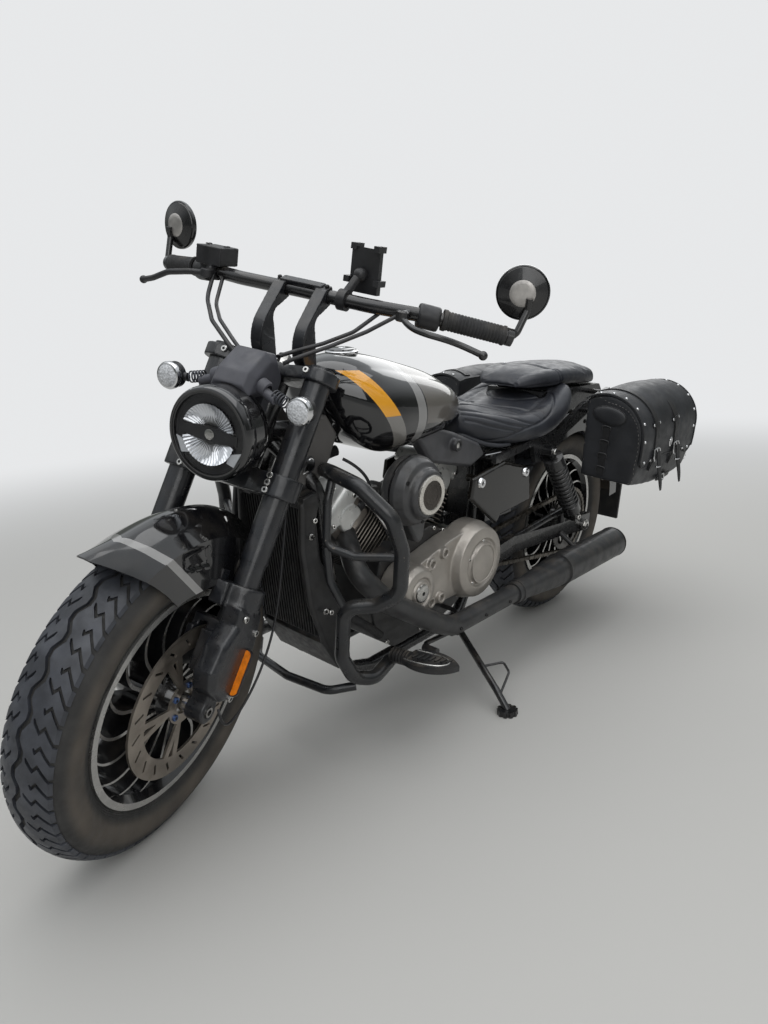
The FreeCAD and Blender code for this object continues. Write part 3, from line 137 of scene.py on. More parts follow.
for label, place, aim, power, size in (
        ("overhead_light", (0.6, 0.4, 3.6), (0, 0, 0.5), 60, 4.0),
        ("front_light", (2.6, 3.0, 2.2), (0.2, 0, 0.5), 34, 2.6),
        ("rear_light", (-3.0, -1.2, 2.4), (0, 0, 0.5), 26, 2.4)):
    lamp = bpy.data.lights.new(label, "AREA")
    lamp.energy = power
    lamp.size = size
    holder = bpy.data.objects.new(label, lamp)
    holder.location = place
    holder.rotation_mode = "QUATERNION"
    holder.rotation_quaternion = (Vector(aim) - Vector(place)).to_track_quat("-Z", "Y")
    scene.collection.objects.link(holder)

EYE = (1.4734, 1.1656, 0.9273)
view_az, view_el, view_roll = math.radians(-138.02), math.radians(-12.87), math.radians(-3.98)
look = Vector((math.cos(view_az) * math.cos(view_el), math.sin(view_az) * math.cos(view_el),
               math.sin(view_el)))
level = look.cross(Vector((0, 0, 1))).normalized()
rise = level.cross(look)
right = math.cos(view_roll) * level + math.sin(view_roll) * rise
top = math.cos(view_roll) * rise - math.sin(view_roll) * level
camera_data = bpy.data.cameras.new("camera")
camera_data.lens = 26.105
camera_data.clip_start = 0.05
camera = bpy.data.objects.new("camera", camera_data)
camera.matrix_world = Matrix.Translation(EYE) @ Matrix((right, top, -look)).transposed().to_4x4()
scene.collection.objects.link(camera)
scene.camera = camera
# Tyres: dusty black rubber with a moulded carcass and separate tread blocks. A zig-zag groove runs
# round the middle and Z shaped cross grooves run out to the shoulders, repeated round the axle.
rest_joints = {joint["name"]: joint for joint in frame["joints"]}
rear_axle = Vector(rest_joints["rear_wheel_spin"]["pos_m"])
steer_axis = Vector(rest_joints["steering_turn"]["axis"]).normalized()
steer_point = Vector(rest_joints["steering_turn"]["pos_m"])
LEAN = Matrix.Rotation(math.radians(-6.970), 4, "X") @ Matrix.Rotation(math.radians(0.159), 4, "Y")
PARKED = Matrix.Translation(rear_axle) @ LEAN @ Matrix.Translation((0, 0, -0.323))
STEERED = Matrix.Translation(steer_point) @ Matrix.Rotation(math.radians(19.3), 4, steer_axis) \
    @ Matrix.Translation(-steer_point) @ PARKED
FRONT_WHEEL = STEERED @ Matrix.Translation((1.510, 0, 0.320))
REAR_WHEEL = PARKED @ Matrix.Translation((0, 0, 0.323))


def noise_of(tree, at, scale, detail=4.0):
    return wired(tree, "ShaderNodeTexNoise", {"Scale": scale, "Detail": detail, "Vector": at}).outputs["Fac"]


def bumped(tree, height, strength, distance):
    # gives the material's surface a relief
    bump = wired(tree, "ShaderNodeBump", {"Height": height, "Strength": strength, "Distance": distance})
    tree.links.new(bump.outputs[0], tree.nodes["Principled BSDF"].inputs["Normal"])


def finish_of(name, rgb, rough, metallic=0.0, coat=0.0, mottle=0.12, mottle_scale=9.0, grain=0.0,
              grain_scale=900.0, dust=0.0, dust_rgb=(0.33, 0.28, 0.22), rough_spread=0.08, **sockets):
    # a procedural material: uneven colour and polish, fine grain, and dust on what faces up
    material = bpy.data.materials.new(name)
    material.use_nodes = True
    tree = material.node_tree
    shader = tree.nodes["Principled BSDF"]
    coordinates = wired(tree, "ShaderNodeTexCoord").outputs
    at = coordinates["Object"]
    fixed = {"Metallic": metallic, "Coat_Weight": coat, "Coat_Roughness": 0.04, **sockets}
    for socket, value in fixed.items():
        shader.inputs[socket.replace("_", " ")].default_value = value
    shade = spread(tree, noise_of(tree, at, mottle_scale, 5), 0.3, 0.7)
    colour = blended(tree, shade, tuple(c * (1 - mottle) for c in rgb),
                     tuple(min(1, c * (1 + mottle)) for c in rgb))
    roughness = spread(tree, noise_of(tree, at, mottle_scale * 3, 5), 0.3, 0.7,
                       max(0.02, rough - rough_spread), min(1, rough + rough_spread))
    if dust:
        upward = wired(tree, "ShaderNodeSeparateXYZ", {0: coordinates["Normal"]}).outputs["Z"]
        speck = spread(tree, noise_of(tree, at, 26, 8), 0.42, 0.72)
        amount = sums(tree, "MULTIPLY", spread(tree, upward, -0.1, 1.0, 0.10, 0.8), speck, dust)
        colour = blended(tree, amount, colour, dust_rgb)
        roughness = sums(tree, "MAXIMUM", roughness, sums(tree, "MULTIPLY", amount, 0.9))
    tree.links.new(colour, shader.inputs["Base Color"])
    tree.links.new(roughness, shader.inputs["Roughness"])
    if grain:
        bumped(tree, noise_of(tree, at, grain_scale, 3), grain, 0.0006)
    return material


def off_axle(tree, place):
    # how far a point lies from a wheel's axle
    axle = (place.to_3x3() @ Vector((0, 1, 0))).normalized()
    offset = vectors(tree, "SUBTRACT", tree.nodes["Texture Coordinate"].outputs["Object"], place.translation)
    return vectors(tree, "LENGTH", vectors(tree, "CROSS_PRODUCT", offset[0], axle)[0])["Value"]


def object_from(name, mesh, body, materials, place=None, smooth=35):
    if place:
        mesh.transform(place)
    made = bpy.data.objects.new(name, mesh)
    scene.collection.objects.link(made)
    for material in materials:
        mesh.materials.append(material)
    if smooth is not None:
        mesh.shade_smooth()
        mesh.set_sharp_from_angle(angle=math.radians(smooth))
    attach(made, body)
    return made


def mesh_from(name, bm):
    bmesh.ops.recalc_face_normals(bm, faces=bm.faces)
    mesh = bpy.data.meshes.new(name)
    bm.to_mesh(mesh)
    bm.free()
    return mesh


def skin(bm, rows, ring=True, caps=()):
    # quads between neighbouring rows of vertices, closed round each row where it is a ring
    for k in caps:
        bm.faces.new(rows[k])
    for one, two in zip(rows, rows[1:]):
        for i in range(len(one) - (not ring)):
            j = (i + 1) % len(one)
            bm.faces.new((one[i], one[j], two[j], two[i]))


def turned_mesh(name, rows, steps=96, closed=False):
    # rows are (radius, distance along Y); a radius of 0 closes the end
    bm = bmesh.new()
    rings = []
    for radius, along in rows:
        if radius < 1e-6:
            rings.append([bm.verts.new((0, along, 0))])
            continue
        rings.append([bm.verts.new((radius * math.cos(2 * math.pi * i / steps), along,
                                    radius * math.sin(2 * math.pi * i / steps))) for i in range(steps)])
    pairs = list(zip(rings, rings[1:])) + ([(rings[-1], rings[0])] if closed else [])
    for one, two in pairs:
        for i in range(steps):
            j = (i + 1) % steps
            corners = [one[i % len(one)], one[j % len(one)], two[j % len(two)], two[i % len(two)]]
            corners = list(dict.fromkeys(corners))
            if len(corners) > 2:
                bm.faces.new(corners)
    return mesh_from(name, bm)


tyre_rubber = finish_of("tyre_rubber", (0.040, 0.043, 0.052), 0.5, mottle=0.3, mottle_scale=30, grain=0.25,
                        grain_scale=1400, dust=0.3, dust_rgb=(0.15, 0.155, 0.17))


def sidewall_rubber(name, place, bead, crown):
    material = finish_of(name, (0.03, 0.029, 0.028), 0.7, mottle=0.25, mottle_scale=24)
    tree = material.node_tree
    shader = tree.nodes["Principled BSDF"]
    at = tree.nodes["Texture Coordinate"].outputs["Object"]
    radius = off_axle(tree, place)
    worn = spread(tree, noise_of(tree, at, 18, 8), 0.25, 0.75, 0.45, 1.0)
    dusty = sums(tree, "MULTIPLY", spread(tree, radius, bead + 0.012, bead + 0.03),
                 spread(tree, radius, crown - 0.034, crown - 0.012, 1.0, 0.0), worn, 0.62)
    base = shader.inputs["Base Color"].links[0].from_socket
    tree.links.new(blended(tree, dusty, base, (0.15, 0.125, 0.10)), shader.inputs["Base Color"])
    ribs = sums(tree, "SINE", sums(tree, "MULTIPLY", radius, 1900))
    ribbed = sums(tree, "MULTIPLY", ribs, spread(tree, radius, bead + 0.012, bead + 0.016, 1.0, 0.0))
    bumped(tree, sums(tree, "ADD", ribbed, noise_of(tree, at, 700, 3)), 0.6, 0.0008)
    return material


def node_group(name, kinds):
    # an empty node tree on a mesh, the keys of its other inputs, and what they give inside
    tree = bpy.data.node_groups.new(name, "GeometryNodeTree")
    tree.interface.new_socket("Mesh", in_out="INPUT", socket_type="NodeSocketGeometry")
    keys = {label: tree.interface.new_socket(label, in_out="INPUT",
                                             socket_type="NodeSocket" + kind).identifier for label,
            kind in kinds.items()}
    tree.interface.new_socket("Made", in_out="OUTPUT", socket_type="NodeSocketGeometry")
    return tree, keys, wired(tree, "NodeGroupInput").outputs


def joined(tree, *parts):
    join = tree.nodes.new("GeometryNodeJoinGeometry")
    for part in parts:
        tree.links.new(part, join.inputs[0])
    return join.outputs[0]


def with_finish(tree, geometry, material):
    return wired(tree, "GeometryNodeSetMaterial", {"Geometry": geometry, "Material": material}).outputs[0]


def placed(tree, points, piece, rotation, **extra):
    return wired(tree, "GeometryNodeInstanceOnPoints", {"Points": points, "Instance": piece,
                                                        "Rotation": rotation, **extra}).outputs[0]


def given_out(tree, instances):
    # the tree's result: the instances as one real mesh
    return wired(tree, "GeometryNodeRealizeInstances", {0: instances}).outputs[0]


def tread_tree():
    tree, keys, given = node_group("tread_round_the_axle", {"Pitches": "Int", "Rubber": "Material"})
    points = wired(tree, "GeometryNodePoints", {"Count": given["Pitches"]}).outputs[0]
    step = sums(tree, "DIVIDE", 2 * math.pi, given["Pitches"])
    turn = sums(tree, "MULTIPLY", wired(tree, "GeometryNodeInputIndex").outputs[0], step)
    euler = wired(tree, "ShaderNodeCombineXYZ", {"Y": turn}).outputs[0]
    whole = given_out(tree, placed(tree, points, given["Mesh"], euler))
    wired(tree, "NodeGroupOutput", {0: with_finish(tree, whole, given["Rubber"])})
    return tree, keys


tread = tread_tree()


def grown(made, nodes, values):
    # runs a node tree on an object and keeps the result as a plain mesh
    modifier = made.modifiers.new("nodes", "NODES")
    modifier.node_group, keys = nodes
    for label, value in values.items():
        modifier[keys[label]] = value
    return kept_mesh(made)


def kept_mesh(made):
    # the object's mesh with its modifiers applied; the object itself goes
    bpy.context.view_layer.update()
    mesh = bpy.data.meshes.new_from_object(made.evaluated_get(bpy.context.evaluated_depsgraph_get()))
    bpy.data.objects.remove(made)
    return mesh


def make_tyre(name, body, place, radius, width, rim_w, spin, pitches=31):
    crown = 0.088
    edge = math.asin(0.41 * width / crown) * crown
    depth = 0.0065

    def on_crown(v, sink):
        a = v / crown
        return crown * math.sin(a) * (1 - sink / crown), radius - crown + (crown - sink) * math.cos(a)

    def sidewall(side):
        y1, r1 = on_crown(edge, depth)
        mid = ((radius + 0.205) / 2, width / 2)
        y2, r2 = rim_w / 2 - 0.0065, 0.2165
        rows = []
        for i in range(1, 13):
            t = i / 12
            a, b, c = (1 - t) ** 2, 2 * t * (1 - t), t * t
            pull_r = 2 * mid[0] - 0.5 * (r1 + r2)
            pull_y = 2 * mid[1] - 0.5 * (y1 + y2)
            rows.append((a * r1 + b * pull_r + c * r2, side * (a * y1 + b * pull_y + c * y2)))
        return rows

    rows = [(r, y) for y, r in (on_crown(edge * (i / 12), depth) for i in range(-12, 13))]
    rows = [(0.206, -rim_w / 2 + 0.0065)] + sidewall(-1)[::-1] + rows + sidewall(1) + [(0.206,
                                                                                        rim_w / 2 - 0.0065)]
    wall = sidewall_rubber(name + "_rubber", place, 0.216, radius - 0.02)
    carcass = turned_mesh(name, rows, 160, closed=True)
    shell = object_from(name + "_carcass", carcass, body, [wall], place, 50)
    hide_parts(name)

    # one pitch: two blocks a side, joined near the middle; every second cross groove starts farther out
    pitch = 2 * math.pi * radius / pitches
    gap = 0.0085
    starts = (0.014, 0.024)
    bends = ((0, 0), (0.013, 0), (0.028, 0.019), (0.035, 0.010), (edge - 0.004, 0.036), (edge + 0.01, 0.040))
    cuts = [0.010, 0.0135, 0.0155, 0.019, 0.0235, 0.0255, 0.028, 0.0315, 0.035, 0.041, 0.048, edge - 0.004,
            edge + 0.003]

    def lean(v):
        for (v0, u0), (v1, u1) in zip(bends, bends[1:]):
            if v <= v1:
                return u0 + (u1 - u0) * max(0, v - v0) / (v1 - v0)

    def zigzag(u):
        wave = 4 * abs((u / pitch) % 1 - 0.5) - 1
        return 0.0058 * max(-1, min(1, 1.7 * wave))

    bm = bmesh.new()
    columns = 9
    for side in (-1, 1):
        for block in (0, 1):
            top, low = [], []
            for v in [None] + cuts:
                left, right = ((gap / 2 if v and v > starts[k] else 0) for k in (block, 1 - block))
                for i in range(columns + 1):
                    u = block * pitch / 2 + left + (pitch / 2 - left - right) * i / columns
                    at_v = 0.0050 + side * zigzag(u) if v is None else v
                    for store, sink in ((top, 0.0004 if v != cuts[-1] else 0.0045), (low, depth + 0.0006)):
                        y, r = on_crown(at_v, sink)
                        a = (u + spin * lean(at_v)) / radius
                        store.append(bm.verts.new((r * math.cos(a), side * y, r * math.sin(a))))
            w = columns + 1
            for j in range(len(cuts)):
                for i in range(columns):
                    k = j * w + i
                    bm.faces.new((top[k], top[k + 1], top[k + w + 1], top[k + w]))
                for k, share in ((j * w, block), (j * w + columns, 1 - block)):
                    if cuts[j] > starts[share]:
                        bm.faces.new((top[k], top[k + w], low[k + w], low[k]))
            for k in (*range(columns), *range(len(cuts) * w, len(cuts) * w + columns)):
                bm.faces.new((low[k], low[k + 1], top[k + 1], top[k]))
    bmesh.ops.delete(bm, geom=[v for v in bm.verts if not v.link_faces], context="VERTS")
    blocks = bpy.data.objects.new("blocks", mesh_from("blocks", bm))
    scene.collection.objects.link(blocks)
    mesh = grown(blocks, tread, {"Pitches": pitches, "Rubber": tyre_rubber})
    object_from(name + "_tread", mesh, body, [], place, 30)


make_tyre("front_tyre", "front_wheel", FRONT_WHEEL, 0.320, 0.130, 0.104, -1)
make_tyre("rear_tyre", "rear_wheel", REAR_WHEEL, 0.323, 0.150, 0.116, 1)

# Cast wheels: one aluminium casting each, painted gloss black. The faces that a lathe has cut are
# bare: the sides of the curved blades, the rim's lips and the ends of the hub.


def wheel_finish(name, place):
    material = finish_of(name, (0.008, 0.008, 0.009), 0.18, coat=0.7, mottle=0.3, dust=0.10)
    tree = material.node_tree
    shader = tree.nodes["Principled BSDF"]
    at = tree.nodes["Texture Coordinate"].outputs
    axle = (place.to_3x3() @ Vector((0, 1, 0))).normalized()
    facing = vectors(tree, "DOT_PRODUCT", at["Normal"], axle)["Value"]
    sideways = spread(tree, sums(tree, "ABSOLUTE", facing), 0.86, 0.9)
    lip = spread(tree, off_axle(tree, place), 0.2055, 0.207)
    grime = spread(tree, noise_of(tree, at["Object"], 22, 7), 0.35, 0.7, 0.75, 1.0)
    cut = sums(tree, "MULTIPLY", sums(tree, "MAXIMUM", sideways, lip), grime)
    base = shader.inputs["Base Color"].links[0].from_socket
    tree.links.new(blended(tree, cut, base, (0.62, 0.61, 0.59)), shader.inputs["Base Color"])
    tree.links.new(cut, shader.inputs["Metallic"])
    rough = shader.inputs["Roughness"].links[0].from_socket
    tree.links.new(sums(tree, "MAXIMUM", rough, sums(tree, "MULTIPLY", cut, 0.3)), shader.inputs["Roughness"])
    return material


def dress(cad, material):
    # gives a CAD node its finish
    node[cad].data.materials.clear()
    node[cad].data.materials.append(material)


dress("front_wheel", wheel_finish("front_wheel_cast", FRONT_WHEEL))
dress("rear_wheel", wheel_finish("rear_wheel_cast", REAR_WHEEL))

# Brake discs: bronze grey slotted steel rings on black carriers, held by blue steel bolts.
disc_steel = finish_of("disc_steel", (0.34, 0.30, 0.26), 0.36, metallic=0.9, mottle=0.3, mottle_scale=14,
                       grain=0.1, grain_scale=500)
dress("front_brake_disc", disc_steel)
dress("rear_brake_disc", disc_steel)


def bolt_tree():
    tree, keys, given = node_group("socket_head_bolts", {
        "Head radius": "Float", "Head height": "Float", "Socket radius": "Float", "Sides": "Int",
        "Metal": "Material", "Shadow": "Material"})
    wide = given["Head radius"]

    def disc(sides, bottom, top, lift, share):
        # a flat cone; its lift and its height are shares of the head's height
        height, up = (sums(tree, "MULTIPLY", given["Head height"], part) for part in (share, lift))
        cone = wired(tree, "GeometryNodeMeshCone", {"Vertices": sides, "Radius Bottom": bottom,
                                                    "Radius Top": top, "Depth": height}).outputs["Mesh"]
        raised = wired(tree, "ShaderNodeCombineXYZ", {"Z": up}).outputs[0]
        return wired(tree, "GeometryNodeTransform", {"Geometry": cone, "Translation": raised}).outputs[0]

    head = disc(given["Sides"], wide, wide, 0, 0.75)
    crown = disc(given["Sides"], wide, sums(tree, "MULTIPLY", wide, 0.86), 0.75, 0.25)
    socket = disc(6, given["Socket radius"], given["Socket radius"], 0.93, 0.1)
    bolt = joined(tree, with_finish(tree, joined(tree, head, crown), given["Metal"]),
                  with_finish(tree, socket, given["Shadow"]))
    facing = wired(tree, "GeometryNodeInputNamedAttribute", {"Name": "facing"}, data_type="FLOAT_VECTOR")
    turn = wired(tree, "FunctionNodeAlignEulerToVector", {"Vector": facing.outputs["Attribute"]}, axis="Z")
    wired(tree, "NodeGroupOutput", {0: given_out(tree, placed(tree, given["Mesh"], bolt, turn.outputs[0]))})
    return tree, keys


bolts = bolt_tree()
bolt_shadow = finish_of("bolt_socket_shadow", (0.004, 0.004, 0.004), 0.8, mottle=0.3)
bolt_bright = finish_of("bright_zinc", (0.66, 0.65, 0.63), 0.25, metallic=1.0, mottle=0.15, mottle_scale=60)
bolt_black = finish_of("black_bolt_steel", (0.02, 0.02, 0.02), 0.35, metallic=0.4, mottle=0.3,
                       mottle_scale=60)
bolt_blue = finish_of("blue_bolt_steel", (0.08, 0.14, 0.32), 0.3, metallic=0.8, mottle=0.3, mottle_scale=60)


def fit_bolts(name, places, body, metal, radius=6.0, height=5.0, socket=0.5, sides=20):
    # places are (pose, (x, y, z) in mm, facing); the head stands proud along facing
    mesh = bpy.data.meshes.new(name + "_places")
    spots = [pose @ (Vector(at) / 1000) for pose, at, way in places]
    ways = [(pose.to_3x3() @ Vector(way)).normalized() for pose, at, way in places]
    mesh.from_pydata([tuple(spot) for spot in spots], [], [])
    facing = mesh.attributes.new("facing", "FLOAT_VECTOR", "POINT")
    facing.data.foreach_set("vector", [c for way in ways for c in way])
    spots_object = bpy.data.objects.new(name + "_places", mesh)
    scene.collection.objects.link(spots_object)
    made = grown(spots_object, bolts, {"Head radius": radius / 1000, "Head height": height / 1000,
                                       "Sides": sides, "Socket radius": radius * socket / 1000,
                                       "Metal": metal, "Shadow": bolt_shadow})
    return object_from(name, made, body, [], None, 40)


def round_the_hub(radius, y, count, start=0.0):
    return [(radius * math.cos(math.radians(start + 360 * i / count)), y,
             radius * math.sin(math.radians(start + 360 * i / count))) for i in range(count)]


fit_bolts("front_disc_bolts", [(FRONT_WHEEL, at, (0, 1, 0)) for at in round_the_hub(34, 71, 5, 36)],
          "front_wheel", bolt_blue, radius=6.5, height=4)
fit_bolts("rear_disc_bolts", [(REAR_WHEEL, at, (0, -1, 0)) for at in round_the_hub(34, -77, 5, 36)],
          "rear_wheel", bolt_blue, radius=6.5, height=4)

# Fork: satin black stanchion covers, clamps and lower legs, a hollow bright axle, and a wide cast
# shroud on each leg, with bright screws and an amber reflector on its outer face.
fork_black = finish_of("fork_satin_black", (0.011, 0.012, 0.015), 0.34, coat=0.35, mottle=0.25,
                       mottle_scale=30, grain=0.12, grain_scale=1100, dust=0.10)
gloss_black = finish_of("gloss_black_lacquer", (0.007, 0.007, 0.008), 0.12, coat=1.0, mottle=0.2, dust=0.05)
bare_steel = finish_of("bare_steel", (0.55, 0.54, 0.52), 0.3, metallic=1.0, mottle=0.2, mottle_scale=40)
for cad in ("triple_clamps", "fork_tubes", "bar_risers"):
    dress(cad, fork_black)
dress("front_axle", bare_steel)
RAKE = math.radians(27.8)
FORK = STEERED @ Matrix.Translation((1.636, 0, 0)) @ Matrix.Rotation(-RAKE, 4, "Y")
legs = []
for side in (-1, 1):
    legs += [(FORK, (20, side * 148, 376), (0, side, 0)), (FORK, (66, side * 148, 530), (0, side, 0)),
             (FORK, (8, side * 148, 505), (0, side, 0))]
fit_bolts("leg_screws", legs, "steering", bolt_bright, radius=7, height=4)


# Front fender: pressed steel in gloss black, with a raised spine, a recess on each side and a silver band
# painted across it.
def mm(pose, at):
    return pose @ (Vector(at) / 1000)


def aimed(pose, at, way):
    turn = Vector(way).normalized().to_track_quat("Y", "Z").to_matrix().to_4x4()
    return pose @ Matrix.Translation(Vector(at) / 1000) @ turn


def lathe(name, rows, body, material, pose, at, way, steps=48, closed=False, smooth=35):
    mesh = turned_mesh(name, [(r / 1000, y / 1000) for r, y in rows], steps, closed)
    return object_from(name, mesh, body, [material], aimed(pose, at, way), smooth)


def worked(mesh, *steps):
    # a mesh after modifiers, each given as its kind and its settings
    blank = bpy.data.objects.new("blank", mesh)
    scene.collection.objects.link(blank)
    for kind, settings in steps:
        modifier = blank.modifiers.new(kind, kind)
        for key, value in settings.items():
            setattr(modifier, key, value)
    return kept_mesh(blank)


def evened(cad, voxel, passes):
    # the CAD form as an even net of small squares, its edges and corners rounded
    return worked(node[cad].data.copy(), ("REMESH", {"mode": "VOXEL", "voxel_size": voxel / 1000}),
                  ("SMOOTH", {"iterations": passes, "factor": 0.5}))


def thinned(mesh, faces):
    return worked(mesh, ("DECIMATE", {"ratio": min(1.0, faces / (2 * len(mesh.polygons)))}))


def rounded(cad, body, material, voxel=2.2, passes=6, faces=20000):
    # a casting: the CAD form with every edge and corner rounded, thinned to so many triangles
    mesh = thinned(evened(cad, voxel, passes), faces)
    mesh.materials.clear()
    made = object_from(cad + "_shell", mesh, body, [material], None, 60)
    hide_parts(cad)
    return made


rounded("fork_lower_legs", "steering", fork_black, 2.8, 4)
rounded("front_caliper", "steering", fork_black, 2.2, 4)


def in_pose(tree, pose):
    # object coordinates turned back into the upright machine, in millimetres
    back = pose.inverted()
    turned = wired(tree, "ShaderNodeMapping", {
        0: tree.nodes["Texture Coordinate"].outputs["Object"], "Location": back.translation * 1000,
        "Rotation": back.to_euler(), "Scale": (1000, 1000, 1000)})
    return wired(tree, "ShaderNodeSeparateXYZ", {0: turned.outputs[0]}).outputs


def between(tree, value, low, high, edge=1.2):
    # 1 from low to high, falling to 0 over an edge of a millimetre or so
    return sums(tree, "MULTIPLY", spread(tree, value, low - edge / 2, low + edge / 2),
                spread(tree, value, high - edge / 2, high + edge / 2, 1, 0))


def slanted(tree, xyz, direction, low, high):
    # 1 between two parallel planes
    return between(tree, sums(tree, "ADD", *(sums(tree, "MULTIPLY", *pair) for pair in zip(xyz, direction))),
                   low, high)


def rest(tree, share):
    return sums(tree, "SUBTRACT", 1.0, share)


def painted(material, share, rgb, rough=None, metallic=None):
    tree = material.node_tree
    shader = tree.nodes["Principled BSDF"]
    for socket, value in (("Base Color", rgb), ("Roughness", rough), ("Metallic", metallic)):
        if value is None:
            continue
        plug = shader.inputs[socket]
        under = plug.links[0].from_socket if plug.links else plug.default_value
        if socket == "Base Color":
            tree.links.new(blended(tree, share, under, value), plug)
        else:
            kept = sums(tree, "MULTIPLY", under, rest(tree, share))
            tree.links.new(sums(tree, "ADD", kept, sums(tree, "MULTIPLY", share, value)), plug)


def slab(bm, outline, low, high):
    # a flat piece: outline in (x, z), thickness along Y, all in millimetres
    skin(bm, [[bm.verts.new((x / 1000, y / 1000, z / 1000)) for x, z in outline] for y in (low, high)],
         caps=(0, 1))


def slab_mesh(name, outline, low, high):
    bm = bmesh.new()
    slab(bm, outline, low, high)
    return mesh_from(name, bm)


fender_paint = finish_of("fender_lacquer", (0.006, 0.006, 0.007), 0.10, coat=1.0, mottle=0.2, dust=0.05)
tree = fender_paint.node_tree
xyz = in_pose(tree, STEERED)
across = sums(tree, "ABSOLUTE", xyz[1])
lower = spread(tree, across, 66.5, 68.5)
side_band = slanted(tree, xyz, (0.7705, 0.0, -0.6374), 795, 810)
crown_run = sums(tree, "ADD", xyz[0], sums(tree, "MULTIPLY", across, 0.69))
crown_band = between(tree, crown_run, 1608, 1627)
band = sums(tree, "ADD", sums(tree, "MULTIPLY", side_band, lower),
            sums(tree, "MULTIPLY", crown_band, rest(tree, lower)))
painted(fender_paint, band, (0.27, 0.265, 0.26), 0.3, 0.0)
# degrees round the wheel, then how far the spine, the shoulder and the hem stand off the tread
STATIONS = [(56, 102, 5, -80), (66, 66, 5, -80), (78, 43, 4, -80), (94, 42, 4, -84), (116, 46, 4, -78),
            (136, 46, -4, -56)]
FRONT_EDGE = [(-200, 77.6), (-80, 77.6), (4, 69.2), (74, 62.3), (200, 62.3)]


def through(points, at, smooth=True):
    # the value at a place between points, straight or on a smooth curve through them
    i = min(max(sum(x <= at for x, _ in points) - 1, 0), len(points) - 2)
    (x0, v0), (x1, v1) = points[i:i + 2]
    t = (at - x0) / (x1 - x0)
    if not smooth:
        return v0 + (v1 - v0) * t
    before, after = points[max(i - 1, 0)], points[min(i + 2, len(points) - 1)]
    m0 = (v1 - before[1]) / (x1 - before[0]) * (x1 - x0)
    m1 = (after[1] - v0) / (after[0] - x0) * (x1 - x0)
    return ((2 * t ** 3 - 3 * t ** 2 + 1) * v0 + (t ** 3 - 2 * t ** 2 + t) * m0 + (3 * t ** 2 - 2 * t ** 3)
            * v1 + (t ** 3 - t ** 2) * m1)


def hood_reach(degrees, y):
    spine, shoulder, hem = (through([(row[0], row[k]) for row in STATIONS], degrees) for k in (1, 2, 3))
    if y > 68:
        return shoulder + (hem - shoulder) * (y - 68) / 14
    return through([(0, spine + 0.6), (9, spine), (41, (spine + shoulder) / 2 + 2), (68, shoulder)], y,
                   y < 41)


half = [82 - 0.5 * k for k in range(29)] + [68 - 4.5 * k for k in range(1, 7)] + [36, 30, 23, 16, 9, 4, 0]
bm = bmesh.new()
lines = []
for y in half + [-y for y in half[-2::-1]]:
    degrees = 66.0
    for _ in range(30):
        degrees = through(FRONT_EDGE, hood_reach(degrees, abs(y)), False)
    line = []
    for k in range(97):
        a = degrees + (136 - degrees) * k / 96
        reach = hood_reach(a, abs(y))
        x, z = (320 + reach) * math.cos(math.radians(a)), 320 + (320 + reach) * math.sin(math.radians(a))
        window = min(1, max(0, (37 - abs(x + 10)) / 5)) * min(1,
                                                              max(0, (19.5 - abs(z - 0.2 * x - 620.5)) / 5))
        press = 4.5 * window * min(1, max(0, (abs(y) - 68.5) / 2)) * min(1, max(0, (81 - abs(y)) / 2))
        line.append(bm.verts.new(((x + 1510) / 1000, (y - math.copysign(press, y)) / 1000, z / 1000)))
    lines.append(line)
skin(bm, lines, ring=False)
bmesh.ops.recalc_face_normals(bm, faces=bm.faces)
if sum(f.normal.z * f.calc_area() for f in bm.faces) < 0:
    bmesh.ops.reverse_faces(bm, faces=bm.faces)
bmesh.ops.solidify(bm, geom=bm.faces[:], thickness=0.0028)
fender = object_from("fender_sheet", mesh_from("fender_sheet", bm), "steering", [fender_paint],
                     STEERED, 28)
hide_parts("front_fender")
for side in (-1, 1):
    stay = slab_mesh("fender_stay", [(59.8, 545), (83.8, 545), (83.8, 604), (59.8, 604)], side * 77,
                     side * 81)
    object_from("fender_stay", stay, "steering", [fork_black], FORK, 30)

# Headlight: a black steel bucket with a gloss bezel; behind the clear lens a stepped black ring, a
# chromed bowl in two halves, a dark crossbar with the lamp in its middle and two white marker bars.
lens_clear = finish_of("clear_lens", (0.02, 0.02, 0.02), 0.03, mottle=0.05, Alpha=0.16, IOR=1.6)
chrome = finish_of("chrome", (0.72, 0.72, 0.73), 0.07, metallic=1.0, mottle=0.1, rough_spread=0.03, dust=0.08)
moulded_black = finish_of("moulded_black", (0.016, 0.016, 0.018), 0.42, mottle=0.3, mottle_scale=30,
                          grain=0.15, dust=0.10)
marker_white = finish_of("marker_white", (0.62, 0.64, 0.67), 0.3, mottle=0.05)
dress("headlight", gloss_black)
LAMP = STEERED @ Matrix.Translation((1.394, 0, 0.805)) @ Matrix.Rotation(math.radians(-90), 4, "Z")
lathe("bezel_ring", [(79.5, 1.2), (82.5, 1.9), (85.5, 0.4), (87.6, -3.5), (88.8, -9), (89, -16), (88.4, -24),
                     (86.5, -31), (82, -31), (79, -2)], "steering",
      gloss_black, LAMP, (0, 0, 0), (0, 1, 0), 96, closed=True)
lathe("stepped_ring", [(80, -1), (77, 0), (75, -5), (70, -5.5), (68, -9), (58, -9.5), (57, -6), (78, -6)],
      "steering", moulded_black, LAMP, (0, 0, 0), (0, 1, 0), 96, closed=True)
lathe("lens", [(0, 5), (20, 4.7), (40, 3.6), (60, 1.6), (74, -1.5), (78, -3)], "steering", lens_clear,
      LAMP, (0, 0, 0), (0, 1, 0), 96)


